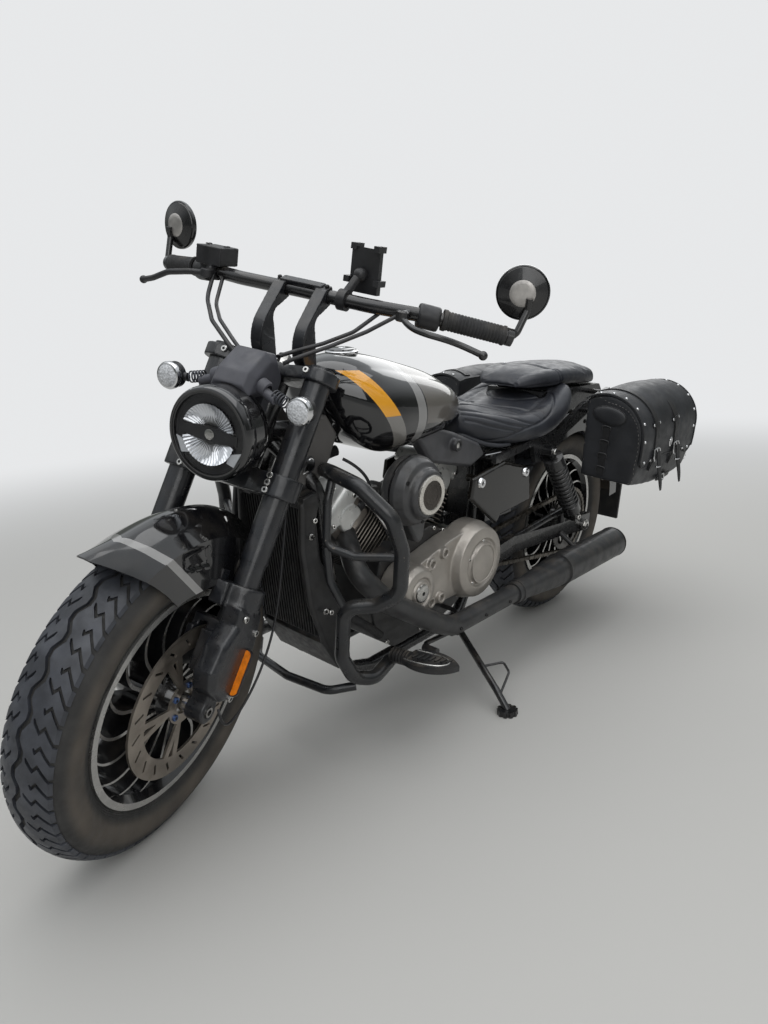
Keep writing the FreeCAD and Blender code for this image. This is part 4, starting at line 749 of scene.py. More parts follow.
def lamp_bowl(name, start, stop, material):
    bm = bmesh.new()
    rows = []
    for r, y in ((4, -11.8), (18, -11.4), (32, -9.8), (44, -7), (52, -3.6), (57, -0.5)):
        rows.append([bm.verts.new((r / 1000 * math.cos(a), (y + (0.04 * r if k % 2 else 0)) / 1000,
                                   r / 1000 * math.sin(a)))
                     for k, a in enumerate(math.radians(start + (stop - start) * i / 44) for i in range(45))])
    skin(bm, rows, ring=False)
    return object_from(name, mesh_from(name, bm), "steering", [material], LAMP, 12)


reflector = finish_of("lamp_reflector", (0.86, 0.88, 0.92), 0.14, metallic=0.7, mottle=0.04,
                      rough_spread=0.03)
lamp_bowl("upper_bowl", 14, 166, reflector)
lamp_bowl("lower_bowl", 194, 346, reflector)
object_from("lamp_crossbar", slab_mesh("crossbar", [(-60, -9), (-16, -13), (16, -13), (60, -9), (60, 9),
                                                    (16, 14), (-16, 14), (-60, 9)], -12, -4), "steering",
            [moulded_black], LAMP, 30)
lathe("lamp_middle", [(0, -3), (9, -3.4), (12, -5), (13, -8)], "steering", bare_steel, LAMP,
      (0, 0, 0), (0, 1, 0), 32)
for side in (-1, 1):
    object_from("marker_bar", slab_mesh("marker", [(side * 72, -18), (side * 46, -27), (side * 42, -44),
                                                   (side * 58, -48)][::side], -6.5, -3), "steering",
                [marker_white], LAMP, 30)
fit_bolts("bezel_screws", [(STEERED, (1360, side * 88.5, 800), (0, side, 0)) for side in (-1, 1)], "steering",
          bolt_black, radius=5, height=2.5)

# Instrument cowl and front signals: matt grey moulding with round signals on ribbed rubber stems.
cowl_grey = finish_of("cowl_grey", (0.062, 0.063, 0.075), 0.55, mottle=0.12, mottle_scale=20, grain=0.25,
                      grain_scale=1600, dust=0.12, dust_rgb=(0.30, 0.28, 0.25))
signal_lens = finish_of("signal_lens", (0.55, 0.56, 0.58), 0.16, coat=0.6, mottle=0.25, mottle_scale=260)
tree = signal_lens.node_tree
cells = wired(tree, "ShaderNodeTexVoronoi",
              {"Scale": 190, "Vector": tree.nodes["Texture Coordinate"].outputs["Object"]})
bumped(tree, cells.outputs["Distance"], 0.9, 0.002)
cowl = rounded("gauge_cowl", "steering", cowl_grey, 2.4, 12)
cowl.data.transform(STEERED @ Matrix.Diagonal((1, 0.76, 1, 1)) @ STEERED.inverted())
dress("front_signals", moulded_black)
for side in (-1, 1):
    base = (1292, side * 144, 873)
    lathe("signal_bezel", [(24.6, 30), (26.4, 31), (26.8, 37), (24.5, 42), (21.5, 43), (21.5, 40)],
          "steering", chrome, STEERED, base, (1, 0, 0), 48, closed=True)
    lathe("signal_lens", [(0, 49), (9, 48.4), (16, 46.6), (22, 42.5), (22.5, 39)], "steering",
          signal_lens, STEERED, base, (1, 0, 0), 48)
    stem = Vector((1312, side * 112, 875)) - Vector((1304, side * 60, 889))
    lathe("stem_root", [(10, 0), (14, -1), (16, -6), (17, -18)], "steering", cowl_grey,
          STEERED, (1304, side * 62, 888.5), tuple(stem), 32)
    for i in range(5):
        lathe("stem_rib", [(9.8, -1.6), (11.6, -1.2), (11.6, 1.2), (9.8, 1.6)], "steering",
              tyre_rubber, STEERED, tuple(Vector((1304, side * 60, 889)) + stem * (0.38 + 0.12 * i)),
              tuple(stem), 24)

# Handlebar group: black steel bar on two cast risers, ribbed rubber grips, brake fluid reservoir
# and levers, round mirrors with a pale metal centre behind, and a phone clamp on the left.
bar_black = finish_of("bar_black", (0.009, 0.009, 0.010), 0.24, coat=0.5, mottle=0.25, mottle_scale=30,
                      dust=0.12)
grip_rubber = finish_of("grip_rubber", (0.02, 0.02, 0.021), 0.66, mottle=0.25, mottle_scale=40, grain=0.3,
                        dust=0.2)
mirror_glass = finish_of("mirror_glass", (0.75, 0.77, 0.8), 0.03, metallic=1.0, mottle=0.05,
                         rough_spread=0.02)
mirror_back = finish_of("mirror_centre", (0.46, 0.44, 0.42), 0.42, metallic=0.7, mottle=0.2, mottle_scale=40)
for cad, finish in (("handlebar", bar_black), ("grips", grip_rubber), ("mirrors", bar_black),
                    ("phone_holder", moulded_black), ("control_cables", moulded_black)):
    dress(cad, finish)
rounded("hand_controls", "steering", moulded_black, 1.7, 5)
rounded("bar_risers", "steering", fork_black, 1.8, 5)
rounded("triple_clamps", "steering", fork_black, 2.2, 5)
GRIP_END = Vector((1007, 406, 1035))
grip_way = (GRIP_END - Vector((1075, 272, 1049.5))).normalized()
for side in (-1, 1):
    way = Vector((grip_way.x, side * grip_way.y, grip_way.z))
    end = Vector((GRIP_END.x, side * GRIP_END.y, GRIP_END.z))
    rows = []
    for i in range(17):
        t = -121 + i * 6.6
        rows += [(17.4, t - 2.4), (18.6, t - 1.6), (18.6, t + 1.6), (17.4, t + 2.4)]
    lathe("grip_ribs", [(15, rows[0][1])] + rows + [(15, rows[-1][1])], "steering", grip_rubber,
          STEERED, tuple(end), tuple(way), 40)
    lathe("grip_collar", [(15, -131), (20.5, -131), (20.8, -124), (19, -122), (15, -122)], "steering",
          grip_rubber, STEERED, tuple(end), tuple(way), 40)
    back_way = (-0.96, side * -0.22, 0.05)
    head = (990, side * 416, 1118)
    lathe("mirror_rim", [(48, 17.5), (51.5, 19.5), (52.6, 16), (52.4, 11), (50, 9.4)], "steering",
          gloss_black, STEERED, head, back_way, 72)
    lathe("mirror_glass", [(0, 20.8), (48.5, 20.8), (49.5, 19.8)], "steering", mirror_glass,
          STEERED, head, back_way, 72)
    lathe("mirror_centre", [(0, -2.4), (17, -2.0), (25, -0.4), (27, 1.2), (27, 3)], "steering",
          mirror_back, STEERED, head, back_way, 60)

# Black screws hold the reservoir's lid and the bar, bright ones pinch both clamps round the fork tubes.
fit_bolts("lid_screws", [(STEERED, (x, y, 1101), (0, 0, 1)) for x in (1074, 1084) for y in (-254, -208)],
          "steering", bolt_black, radius=4, height=2)
fit_bolts("riser_screws", [(STEERED, (1108, side * 48 + off, 1067.5), (0.35, 0, 1)) for side in (-1, 1)
                           for off in (-7, 7)], "steering", bolt_black, radius=4.5, height=4)
fit_bolts("lower_clamp_screws", [(FORK, (71, side * 98, 768 + 14.5 * k), (1, 0, 0)) for side in (-1, 1)
                                 for k in range(3)], "steering", bolt_bright, radius=6.5, height=4.5)
fit_bolts("top_clamp_screws", [(FORK, (69, side * 93.5, 1009), (1, 0, 0)) for side in (-1, 1)], "steering",
          bolt_bright, radius=6.5, height=4.5)
lathe("stem_nut", [(0, 1046), (12, 1046), (13, 1043), (13, 1020)], "steering", bare_steel, FORK,
      (0, 0, 0), (0, 0, 1), 6)
for side in (-1, 1):
    lathe("fork_cap", [(0, 1022), (14, 1022), (20, 1020), (22, 1017)], "steering",
          moulded_black, FORK, (0, side * 110, 0), (0, 0, 1), 40)


def cord(name, points, radii, body, material, pose, curved=True, sides=12):
    # a cord, hose, pipe or rod laid through its points; one radius, or one for each point
    curve = bpy.data.curves.new(name, "CURVE")
    curve.dimensions = "3D"
    curve.bevel_depth = 0.001
    curve.bevel_resolution = sides // 4
    curve.use_fill_caps = True
    spline = curve.splines.new("NURBS" if curved else "POLY")
    spline.points.add(len(points) - 1)
    radii = [radii] * len(points) if isinstance(radii, (int, float)) else radii
    for spot, at, radius in zip(spline.points, points, radii):
        spot.co = (*(Vector(at) / 1000), 1)
        spot.radius = radius
    spline.order_u = 4
    spline.use_endpoint_u = True
    spline.resolution_u = 10
    laid = bpy.data.objects.new(name, curve)
    scene.collection.objects.link(laid)
    return object_from(name, kept_mesh(laid), body, [material], pose, 50)


cord("speed_sensor_lead", [(30, 139, 352), (34, 150, 340), (10, 153, 318), (-34, 150, 334), (-78, 146, 400),
                           (-92, 140, 500), (-72, 128, 600), (-46, 112, 690), (-27, 105, 748)], 2.6,
     "steering", moulded_black, FORK)


# Clutch lever: a forged black lever on its pivot, bowed forward and down below the left grip.
cord("clutch_perch", [(1088, 230, 1050), (1104, 227, 1048), (1118, 226, 1045)], 9, "steering",
     bar_black, STEERED)
lathe("clutch_pivot", [(0, 10), (10, 10), (12.5, 8), (12.5, -8), (10, -10), (0, -10)], "steering",
      bar_black, STEERED, (1118, 226, 1045), (0, 0, 1), 32)
cord("clutch_lever", [(1118, 226, 1044), (1137, 248, 1031), (1142, 282, 1026), (1131, 312, 1023),
                      (1113, 336, 1018), (1102, 363, 1011), (1099, 391, 1004)], 6.2, "steering",
     bar_black, STEERED)
lathe("lever_ball",
      [(0, 9)] + [(9 * math.sin(a), 9 * math.cos(a)) for a in (math.radians(d) for d in range(20, 180, 20))]
      + [(0, -9)], "steering", bar_black, STEERED, (1099, 393, 1003.5), (0, 1, 0), 24)

# Engine: black crankcase, two black finned cylinders with machined fin edges, silver painted head
# covers, champagne side covers with recessed screws, and a round dark air cleaner between them.
case_black = finish_of("case_black", (0.017, 0.017, 0.018), 0.36, coat=0.15, mottle=0.3, mottle_scale=24,
                       grain=0.2, grain_scale=900, dust=0.22)
head_silver = finish_of("head_silver", (0.62, 0.62, 0.60), 0.34, metallic=0.45, mottle=0.1, mottle_scale=20,
                        dust=0.15, dust_rgb=(0.35, 0.33, 0.30))
champagne = finish_of("champagne_cast", (0.40, 0.37, 0.335), 0.4, metallic=0.6, mottle=0.08, mottle_scale=20,
                      grain=0.15, grain_scale=1500, dust=0.12)
fin_black = finish_of("finned_black", (0.014, 0.014, 0.014), 0.42, mottle=0.3, mottle_scale=24, dust=0.18)
tree = fin_black.node_tree
normal = tree.nodes["Texture Coordinate"].outputs["Normal"]
where = in_pose(tree, PARKED)
edges = []
CRANK = Matrix.Translation((0.816, 0, 0.330))
LEANS = (42.0, -28.0)
for lean in LEANS:
    axis = PARKED.to_3x3() @ Vector((math.sin(math.radians(lean)), 0, math.cos(math.radians(lean))))
    facing = vectors(tree, "DOT_PRODUCT", normal, axis)["Value"]
    edges.append(spread(tree, sums(tree, "ABSOLUTE", facing), 0.12, 0.2, 1.0, 0.0))
ahead = spread(tree, where[0], 815, 817)
pick = sums(tree, "ADD", sums(tree, "MULTIPLY", edges[0], ahead),
            sums(tree, "MULTIPLY", edges[1], rest(tree, ahead)))
outer = spread(tree, sums(tree, "ABSOLUTE", where[1]), 52, 58)
painted(fin_black, sums(tree, "MULTIPLY", pick, outer), (0.42, 0.38, 0.34), 0.3, 0.8)
dress("cylinders", fin_black)
rounded("crankcase", "frame", case_black, 3.4, 4)
rounded("head_covers", "frame", head_silver, 2.2, 8)
rounded("engine_covers", "frame", champagne, 2.2, 4)
cleaner_grey = finish_of("cleaner_grey", (0.042, 0.042, 0.044), 0.4, coat=0.2, mottle=0.2, mottle_scale=20,
                         grain=0.15, dust=0.15)
rounded("air_cleaner", "frame", cleaner_grey, 2.2, 3)
ring_silver = finish_of("ring_silver", (0.70, 0.67, 0.62), 0.28, metallic=0.9, mottle=0.1, mottle_scale=40)
disc_dark = finish_of("disc_dark", (0.06, 0.052, 0.045), 0.25, metallic=0.7, mottle=0.2, mottle_scale=30)
AIR = (925, 0, 627)
lathe("cleaner_ring", [(33, 217), (33, 221.4), (35, 222.4), (43, 222), (45, 220.4), (45, 216)], "frame",
      ring_silver, PARKED, AIR, (0, 1, 0), 96, closed=True)
lathe("cleaner_disc", [(0, 219.8), (20, 219.8), (21, 220.6), (23, 220.6), (24, 219.8), (34, 219.8)], "frame",
      disc_dark, PARKED, AIR, (0, 1, 0), 96)
lathe("cleaner_seam", [(81, 160), (81.4, 161.5), (81.4, 163.5), (81, 165), (79, 165), (79, 160)], "frame",
      gloss_black, PARKED, AIR, (0, 1, 0), 96, closed=True)
fit_bolts("cleaner_screws", [(PARKED, (925 + 66 * math.cos(a), 196, 627 + 66 * math.sin(a)), (0, 1, 0))
                             for a in (math.radians(d) for d in (150, 270, 30))], "frame", bolt_black,
          radius=5, height=2, socket=0.6)

# Engine trim: a polished plug in the front cover, small screws round the covers, spark leads, a
# bright pipe beside the front head and black hoses behind the cylinders.
lathe("cover_plug", [(0, 190.5), (5, 190.5), (5.5, 191.6), (18, 191.6), (22, 189.5), (23, 186)], "frame",
      bare_steel, PARKED, (903, 0, 376), (0, 1, 0), 60)
# the plug's centre hole is filled with a flat black disc and a darker socket: painted shade where the hole's
# depth would look dark
fit_bolts("plug_hole", [(PARKED, (903, 191.2, 376), (0, 1, 0))], "frame", bolt_black, radius=4.6, height=0.8,
          socket=0.8)
fit_bolts("clutch_ring_screws", [(PARKED, (655 + 59 * math.cos(a), 184, 384 + 59 * math.sin(a)), (0, 1, 0))
                                 for a in (math.radians(20 + 72 * k) for k in range(5))], "frame",
          bolt_bright, radius=4.4, height=3.4)
lathe("clutch_face_ring", [(47, 192.6), (49, 194.6), (52.6, 194.6), (53.6, 191.5)], "frame",
      champagne, PARKED, (655, 0, 384), (0, 1, 0), 96)
fit_bolts("case_screws", [(PARKED, at, (0, 1, 0)) for at in (
    (972, 104, 404), (940, 104, 462), (760, 104, 484), (722, 104, 470), (962, 104, 270), (930, 104, 232),
    (800, 104, 222), (610, 104, 272), (560, 104, 430))], "frame", bolt_bright, radius=5.5, height=5)
fit_bolts("ear_screws", [(PARKED, (x, 158, z), (0, 1, 0)) for x, z in ((792, 442), (842, 426), (800, 326),
                                                                     (842, 326))], "frame", bolt_black,
          radius=9.5, height=4)
for lean, top in zip(LEANS, (372, 352)):
    HEAD = PARKED @ CRANK @ Matrix.Rotation(math.radians(lean), 4, "Y")
    fit_bolts("head_screws", [(HEAD, (x, y, top - 30), (0, 1 if y > 0 else -1, 0)) for x in (-44, 44)
                              for y in (-67, 67)], "frame", bolt_bright, radius=5.5, height=4)
    fit_bolts("head_top_screws", [(HEAD, (x, y, top - 1), (0, 0, 1)) for x in (-32, 32) for y in (-34, 34)],
              "frame", bolt_bright, radius=5.5, height=4)
    inward = -1 if lean > 0 else 1
    lathe("plug_cap", [(0, 26), (9, 25), (11, 20), (11, 0), (14, -4), (14, -14)], "frame",
          moulded_black, HEAD, (inward * 52, 58, top - 74), (inward * 0.75, 0.6, 0.3), 24)
    cord("spark_lead", [(inward * 66, 70, top - 66), (inward * 92, 86, top - 50),
                        (inward * 104, 70, top - 10), (inward * 96, 30, top + 26)], 3.6, "frame",
         moulded_black, HEAD)
HEAD = PARKED @ CRANK @ Matrix.Rotation(math.radians(LEANS[0]), 4, "Y")
cord("bright_pipe", [(-52, 66, 330), (-56, 72, 300), (-58, 73, 250), (-56, 70, 190), (-50, 66, 168)], 4.6,
     "frame", chrome, HEAD)
cord("coolant_hose", [(1140, -40, 610), (1090, -50, 640), (1020, -56, 680), (960, -40, 690)], 13, "frame",
     grip_rubber, PARKED)
cord("water_pipe", [(1120, 60, 372), (1060, 92, 350), (1000, 104, 300), (960, 108, 262)], 11, "frame",
     grip_rubber, PARKED)

# Exhaust: satin black steel pipes with a clamp ring where each muffler slides on, and a rolled,
# soot grey tip.
exhaust_black = finish_of("exhaust_satin_black", (0.026, 0.026, 0.027), 0.44, coat=0.1, mottle=0.22,
                          mottle_scale=12, grain=0.15, grain_scale=1000, dust=0.16)
soot = finish_of("soot", (0.018, 0.016, 0.015), 0.85, mottle=0.4, mottle_scale=60)
dress("exhaust_pipes", exhaust_black)
dress("mufflers", exhaust_black)
for side in (-1, 1):
    start, way = (515, side * 208, 262), (-1, 0, -0.02)
    lathe("muffler_clamp", [(30.5, 8), (33, 9), (33, 21), (30.5, 22)], "frame",
          exhaust_black, PARKED, start, way, 64)
    lathe("muffler_step", [(45, 246), (50, 247.5), (50, 252), (48.8, 254)], "frame",
          exhaust_black, PARKED, start, way, 72)
    lathe("muffler_tip", [(49, 616), (50.2, 622), (48, 628), (44, 627), (41.4, 622), (41.2, 560), (0, 559)],
          "frame", soot, PARKED, start, way, 72)
fit_bolts("heat_shield_screws", [(PARKED, (x, 233, z), (0, 1, 0.1)) for x, z in ((800, 264), (690, 263),
                                                                               (575, 262))],
          "frame", bolt_black, radius=5, height=3)

# Crash bars: thick black tube in a closed loop on each side with a thinner hoop inside, all lightly
# chipped; folding pegs at their feet, a cross tube below, and levers beside the engine.
bar_paint = finish_of("guard_black", (0.011, 0.012, 0.014), 0.34, coat=0.3, mottle=0.3, mottle_scale=24,
                      grain=0.1, grain_scale=700, dust=0.14)
tree = bar_paint.node_tree
chips = spread(tree, noise_of(tree, tree.nodes["Texture Coordinate"].outputs["Object"], 120, 3), 0.70, 0.74)
painted(bar_paint, chips, (0.16, 0.14, 0.12), 0.8)
for cad in ("crash_bar_left", "crash_bar_right", "crash_bar_cross"):
    dress(cad, bar_paint)
dress("foot_boards", case_black)
dress("foot_levers", case_black)
for side in (-1, 1):
    bm = bmesh.new()
    for i in range(7):
        length = 25.5 - 1.8 * abs(i - 2)
        place = Matrix.Translation(((984 - 5.2 * i) / 1000, side * (236 + 12 * i) / 1000, 0.2635))
        bmesh.ops.create_cube(bm, size=1, matrix=place @ Matrix.Diagonal((length / 1000, 0.005, 0.004, 1)))
    object_from("peg_ribs", mesh_from("ribs", bm), "frame", [grip_rubber], PARKED, 30)
    cord("peg_edge", [(1010, side * 224, 262), (1002, side * 290, 262), (952, side * 336, 262),
                      (936, side * 286, 262), (957, side * 222, 262)], 2.2, "frame", bare_steel,
         PARKED)
fit_bolts("guard_screws", [(PARKED, at, (0.3, s, 0)) for s in (-1, 1) for at in ((1184, s * 108, 568),
                                                                              (1150, s * 116, 392))],
          "frame", bolt_bright, radius=7, height=5)

# Fuel tank: pressed steel drop in gloss black, with a warm grey panel behind a lighter grey band,
# a second band farther forward that is orange above and grey below, and a screw cap on top.
tank_paint = finish_of("tank_lacquer", (0.005, 0.005, 0.006), 0.09, coat=1.0, mottle=0.2, dust=0.03)
tree = tank_paint.node_tree
xyz = in_pose(tree, PARKED)
across = sums(tree, "ABSOLUTE", xyz[1])
away = spread(tree, across, 33, 34)
floor_line = slanted(tree, xyz, (-0.083, 0, 1), 696, 960)
rear_panel = sums(tree, "MULTIPLY", slanted(tree, xyz, (1, 0, -0.1), 520, 783), away, floor_line)
painted(tank_paint, rear_panel, (0.125, 0.113, 0.10), 0.3, 0.0)
rear_band = sums(tree, "MULTIPLY", slanted(tree, xyz, (1, 0, -0.1), 787, 817), away)
painted(tank_paint, rear_band, (0.26, 0.255, 0.25), 0.25, 0.0)
front_band = slanted(tree, xyz, (0.827, 0, -0.562), 344, 377)
above = spread(tree, xyz[2], 797, 799)
below_top = spread(tree, xyz[2], 892, 893, 1, 0)
painted(tank_paint, sums(tree, "MULTIPLY", front_band, rest(tree, above)), (0.21, 0.20, 0.185), 0.25, 0.0)
painted(tank_paint, sums(tree, "MULTIPLY", front_band, above, below_top), (0.85, 0.38, 0.02), 0.3, 0.0)
rim_line = between(tree, across, 35.75, 37.25, 0.5)
painted(tank_paint, sums(tree, "MULTIPLY", rim_line, rear_panel), (0.02, 0.02, 0.02))
rounded("fuel_tank", "frame", tank_paint, 3.6, 6, 60000)
lathe("filler_ring", [(30, -3), (36, -2), (37, 3), (34, 5), (30, 5)], "frame", chrome, PARKED,
      (985, 0, 921), (0.05, 0, 1), 72, closed=True)
lathe("filler_cap", [(0, 10), (22, 9.6), (28, 8), (30.5, 5), (30.5, -4)], "frame",
      gloss_black, PARKED, (985, 0, 921), (0.05, 0, 1), 72)
lathe("cap_lock", [(0, 11.2), (7, 11.2), (8, 10.4), (8.4, 9)], "frame", chrome, PARKED,
      (985, 0, 921), (0.05, 0, 1), 32)
fit_bolts("tank_bolt", [(PARKED, (628, s * 34, 771), (-0.5, s * 0.6, 1)) for s in (-1, 1)], "frame",
          bolt_black, radius=6, height=3)

# Neck covers and radiator: satin black shrouds beside the radiator, a grey side plate at the steering
# neck with a bright drop shaped badge, and fine black cooling fins across the core.
shroud_black = finish_of("shroud_black", (0.018, 0.018, 0.019), 0.44, mottle=0.25, mottle_scale=20, grain=0.2,
                         dust=0.22)
tree = shroud_black.node_tree
xyz = in_pose(tree, PARKED)
painted(shroud_black, sums(tree, "MULTIPLY", spread(tree, xyz[2], 668, 672), spread(
    tree, sums(tree, "ABSOLUTE", xyz[1]), 61, 62)), (0.085, 0.08, 0.076))
rounded("radiator_shrouds", "frame", shroud_black, 2.2, 4)
fin_metal = finish_of("radiator_fins", (0.02, 0.02, 0.021), 0.5, metallic=0.3, mottle=0.3, mottle_scale=40,
                      dust=0.35)
tree = fin_metal.node_tree
xyz = in_pose(tree, PARKED)
bumped(tree, sums(tree, "SINE", sums(tree, "MULTIPLY", xyz[1], 2.6)), 0.9, 0.0015)
dress("radiator", fin_metal)
for s in (-1, 1):
    drop = bmesh.new()
    ring = [(13 * math.cos(a), 13 * math.sin(a)) for a in (math.radians(d) for d in range(-20, 251, 15))]
    ring += [(8, -17), (20, -18)]
    for step in (((1.0, 0), (1.0, 3.0)), ((0.86, 3.0), (0.774, 4.4))):
        skin(drop, [[drop.verts.new((x * grow / 1000, y / 1000, z * grow / 1000)) for x, z in ring]
                    for grow, y in step], caps=(1,))
    mesh = mesh_from("drop", drop)
    if s < 0:
        mesh.transform(Matrix.Diagonal((1, -1, 1, 1)))
        mesh.flip_normals()
    mesh.transform(Matrix.Translation((1.158, s * 0.0775, 0.712)))
    object_from("neck_badge", mesh, "frame", [chrome], PARKED, 40)
    lathe("badge_seat", [(0, 2), (17, 2), (19, 0), (19, -4)], "frame", moulded_black, PARKED,
          (1159, s * 76, 710), (0, s, 0), 40)
fit_bolts("shroud_screws", [(PARKED, at, (0, s, 0)) for s in (-1, 1) for at in ((1172, s * 106, 600),
                                                                                (1128, s * 110, 380))],
          "frame", bolt_bright, radius=6, height=4)

# Frame, side panels and rear springs: satin black tubes, grey cast covers with a round lock, gloss
# black side panels with bright screws, and black coil springs over their dampers.
frame_black = finish_of("frame_black", (0.010, 0.010, 0.011), 0.30, coat=0.5, mottle=0.3, mottle_scale=20,
                        dust=0.1)
cover_grey = finish_of("cover_grey", (0.055, 0.055, 0.06), 0.45, mottle=0.15, mottle_scale=18, grain=0.2,
                       grain_scale=1200, dust=0.16)
for cad in ("main_frame", "cradle", "seat_rails", "swingarm", "stand_bracket", "battery_box", "side_stand",
            "rear_shocks"):
    dress(cad, frame_black)
rounded("frame_covers", "frame", cover_grey, 2.2, 8)
panel_gloss = finish_of("side_panel_gloss", (0.009, 0.008, 0.007), 0.1, coat=0.2, mottle=0.2, dust=0.08)
rounded("side_covers", "frame", panel_gloss, 2.2, 3)
for s in (-1, 1):
    for at in ((628, s * 152, 584), (410, s * 152, 574)):
        lathe("panel_screw", [(0, 3), (5, 3), (6, 6.5), (11.5, 6), (14, 3), (15, -1)], "frame",
              chrome, PARKED, at, (0, s, 0), 40)
        fit_bolts("panel_screw_core", [(PARKED, (at[0], at[1] + s * 3, at[2]), (0, s, 0))], "frame",
                  bolt_black, radius=4.6, height=1.5)
    lathe("lock_rim", [(8, 1), (9, 3), (13.5, 3.2), (15.4, 0)], "frame", moulded_black, PARKED,
          (728, s * 144, 696), (0, s, 0), 40)
    lathe("lock_core", [(0, 1.6), (5, 1.6), (8, 0.4)], "frame", bare_steel, PARKED,
          (728, s * 144, 696), (0, s, 0), 32)
fit_bolts("shock_bolts", [(PARKED, (x, s * 184, z), (0, s, 0)) for x, z in ((314, 622), (122, 385))
                          for s in (-1, 1)], "frame", bolt_bright, radius=9, height=7)
fit_bolts("axle_nuts", [(PARKED, (0, s * 158, 323), (0, s, 0)) for s in (-1, 1)], "frame", bolt_bright,
          radius=15, height=5, socket=0.42, sides=6)
fit_bolts("pivot_bolts", [(PARKED, (520, s * 146, 350), (0, s, 0)) for s in (-1, 1)], "frame", bolt_bright,
          radius=14, height=6)

# Seats: moulded foam under black leather. The rider's pad has sewn channels that sweep out from its
# nose to a seam over each hip, and the pillion pad a rolled rim and a double seam before its tail.
leather = finish_of("seat_leather", (0.026, 0.028, 0.035), 0.42, mottle=0.2, mottle_scale=14, grain=0.30,
                    grain_scale=700, dust=0.10, dust_rgb=(0.24, 0.22, 0.20))


def stuffed(cad, lines, cap, faces):
    # the CAD pad made even and a little smaller, then blown up against its sewn lines
    mesh = evened(cad, 5.0, 6)
    mesh.materials.clear()
    pad = bpy.data.objects.new(cad + "_pad", mesh)
    scene.collection.objects.link(pad)
    normals = [vertex.normal.copy() for vertex in mesh.vertices]
    down = PARKED.to_3x3() @ Vector((0, 0, -1))
    for vertex, normal in zip(mesh.vertices, normals):
        vertex.co -= normal * 0.0025
    start = [vertex.co.copy() for vertex in mesh.vertices]
    seams = seam_points(pad, lines)
    held = pad.vertex_groups.new(name="sewn")
    for vertex, normal in zip(mesh.vertices, normals):
        if normal.dot(down) > 0.5 or seams.find(vertex.co)[2] < 0.006:
            held.add([vertex.index], 1.0, "REPLACE")
    cloth = pad.modifiers.new("cloth", "CLOTH")
    cloth.settings.use_pressure = True
    cloth.settings.uniform_pressure_force = 4
    cloth.settings.effector_weights.gravity = 0
    cloth.settings.vertex_group_mass = "sewn"
    for step in range(1, 21):
        scene.frame_set(step)
    blown = bpy.data.meshes.new_from_object(pad.evaluated_get(bpy.context.evaluated_depsgraph_get()))
    scene.frame_set(1)
    pad.modifiers.remove(cloth)
    for vertex, origin, swollen in zip(mesh.vertices, start, blown.vertices):
        way = swollen.co - origin
        vertex.co = origin + way * min(1.0, cap / 1000 / max(way.length, 1e-6))
    bpy.data.meshes.remove(blown)
    pad.vertex_groups.clear()
    pad.data = worked(mesh, ("SUBSURF", {"levels": 1, "render_levels": 1}))
    seams = seam_points(pad, lines)
    normals = [vertex.normal.copy() for vertex in pad.data.vertices]
    for vertex, normal in zip(pad.data.vertices, normals):
        gap = seams.find(vertex.co)[2]
        if gap < 0.012:
            vertex.co -= normal * 0.0042 * math.exp(-(gap / 0.0034) ** 2)
    pad.data = thinned(pad.data, faces)
    pad.data.shade_smooth()
    pad.data.materials.append(leather)
    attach(pad, "frame")
    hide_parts(cad)


def seam_points(pad, lines):
    spots = []
    for line in lines:
        line = [mm(PARKED, at) for at in line]
        for one, two in zip(line, line[1:]):
            steps = max(1, int((two - one).length / 0.002))
            for i in range(steps + 1):
                spots.append(pad.closest_point_on_mesh(one.lerp(two, i / steps))[1])
    found = kdtree.KDTree(len(spots))
    for i, spot in enumerate(spots):
        found.insert(spot, i)
    found.balance()
    return found


def flowing(points, steps=6):
    # a smooth line through the given points
    points = [Vector(p) for p in points]
    ends = [points[0] * 2 - points[1]] + points + [points[-1] * 2 - points[-2]]
    line = []
    for a, b, c, d in zip(ends, ends[1:], ends[2:], ends[3:]):
        for i in range(steps):
            t = i / steps
            line.append(0.5 * (2 * b + (c - a) * t + (2 * a - 5 * b + 4 * c - d) * t * t
                               + (3 * b - a - 3 * c + d) * t ** 3))
    return line + [points[-1]]


hip_seam = [(566, 110, 662), (517, 131, 676), (441, 163, 701), (372, 170, 713), (319, 166, 730),
            (281, 152, 748), (239, 124, 765), (212, 96, 778)]
channels = [[(594, 16, 766), (500, 18, 757), (415, 34, 746), (362, 78, 744), (344, 124, 737),
             (338, 166, 724)], [(594, 34, 764), (505, 44, 755), (430, 76, 742), (392, 118, 732),
                                (374, 150, 724), (366, 170, 714)], [(602, 50, 757), (539, 80, 747),
                                                                    (490, 116, 737), (448, 148, 722),
                                                                    (404, 167, 708)],
            [(604, 64, 745), (566, 92, 740), (526, 120, 728), (490, 142, 716), (434, 164, 702)],
            [(604, 76, 732), (580, 93, 727), (553, 113, 717), (522, 132, 708), (470, 154, 696)]]
nose_seam = [(236, 96, 768), (268, 82, 762), (300, 54, 757), (318, 20, 754), (320, 0, 754)]
rider_lines = [flowing([(x, s * y, z) for x, y, z in line]) for s in (-1, 1)
               for line in [hip_seam, nose_seam] + channels]
stuffed("rider_seat", rider_lines, 8, 110000)
rim_seam = [(336, 0, 792), (334, 34, 792), (322, 60, 791), (290, 90, 791), (250, 106, 791), (190, 115, 792),
            (172, 117, 792)]
tail_seams = [[(x, 0, 845), (x - 1, 60, 838), (x - 6, 96, 824), (x - 14, 114, 806), (x - 20, 116, 790)]
              for x in (196, 182)]
pillion_lines = [flowing([(x, s * y, z) for x, y, z in line]) for s in (-1, 1) for line in [rim_seam]
                 + tail_seams]
stuffed("pillion_seat", pillion_lines, 7, 60000)


def tube_along(name, points, radii, material, sides=8):
    # a cord through many close points on the upright machine
    laid = [mm(PARKED, at) * 1000 for at in points]
    return cord(name, laid, radii, "frame", material, None, False, sides)


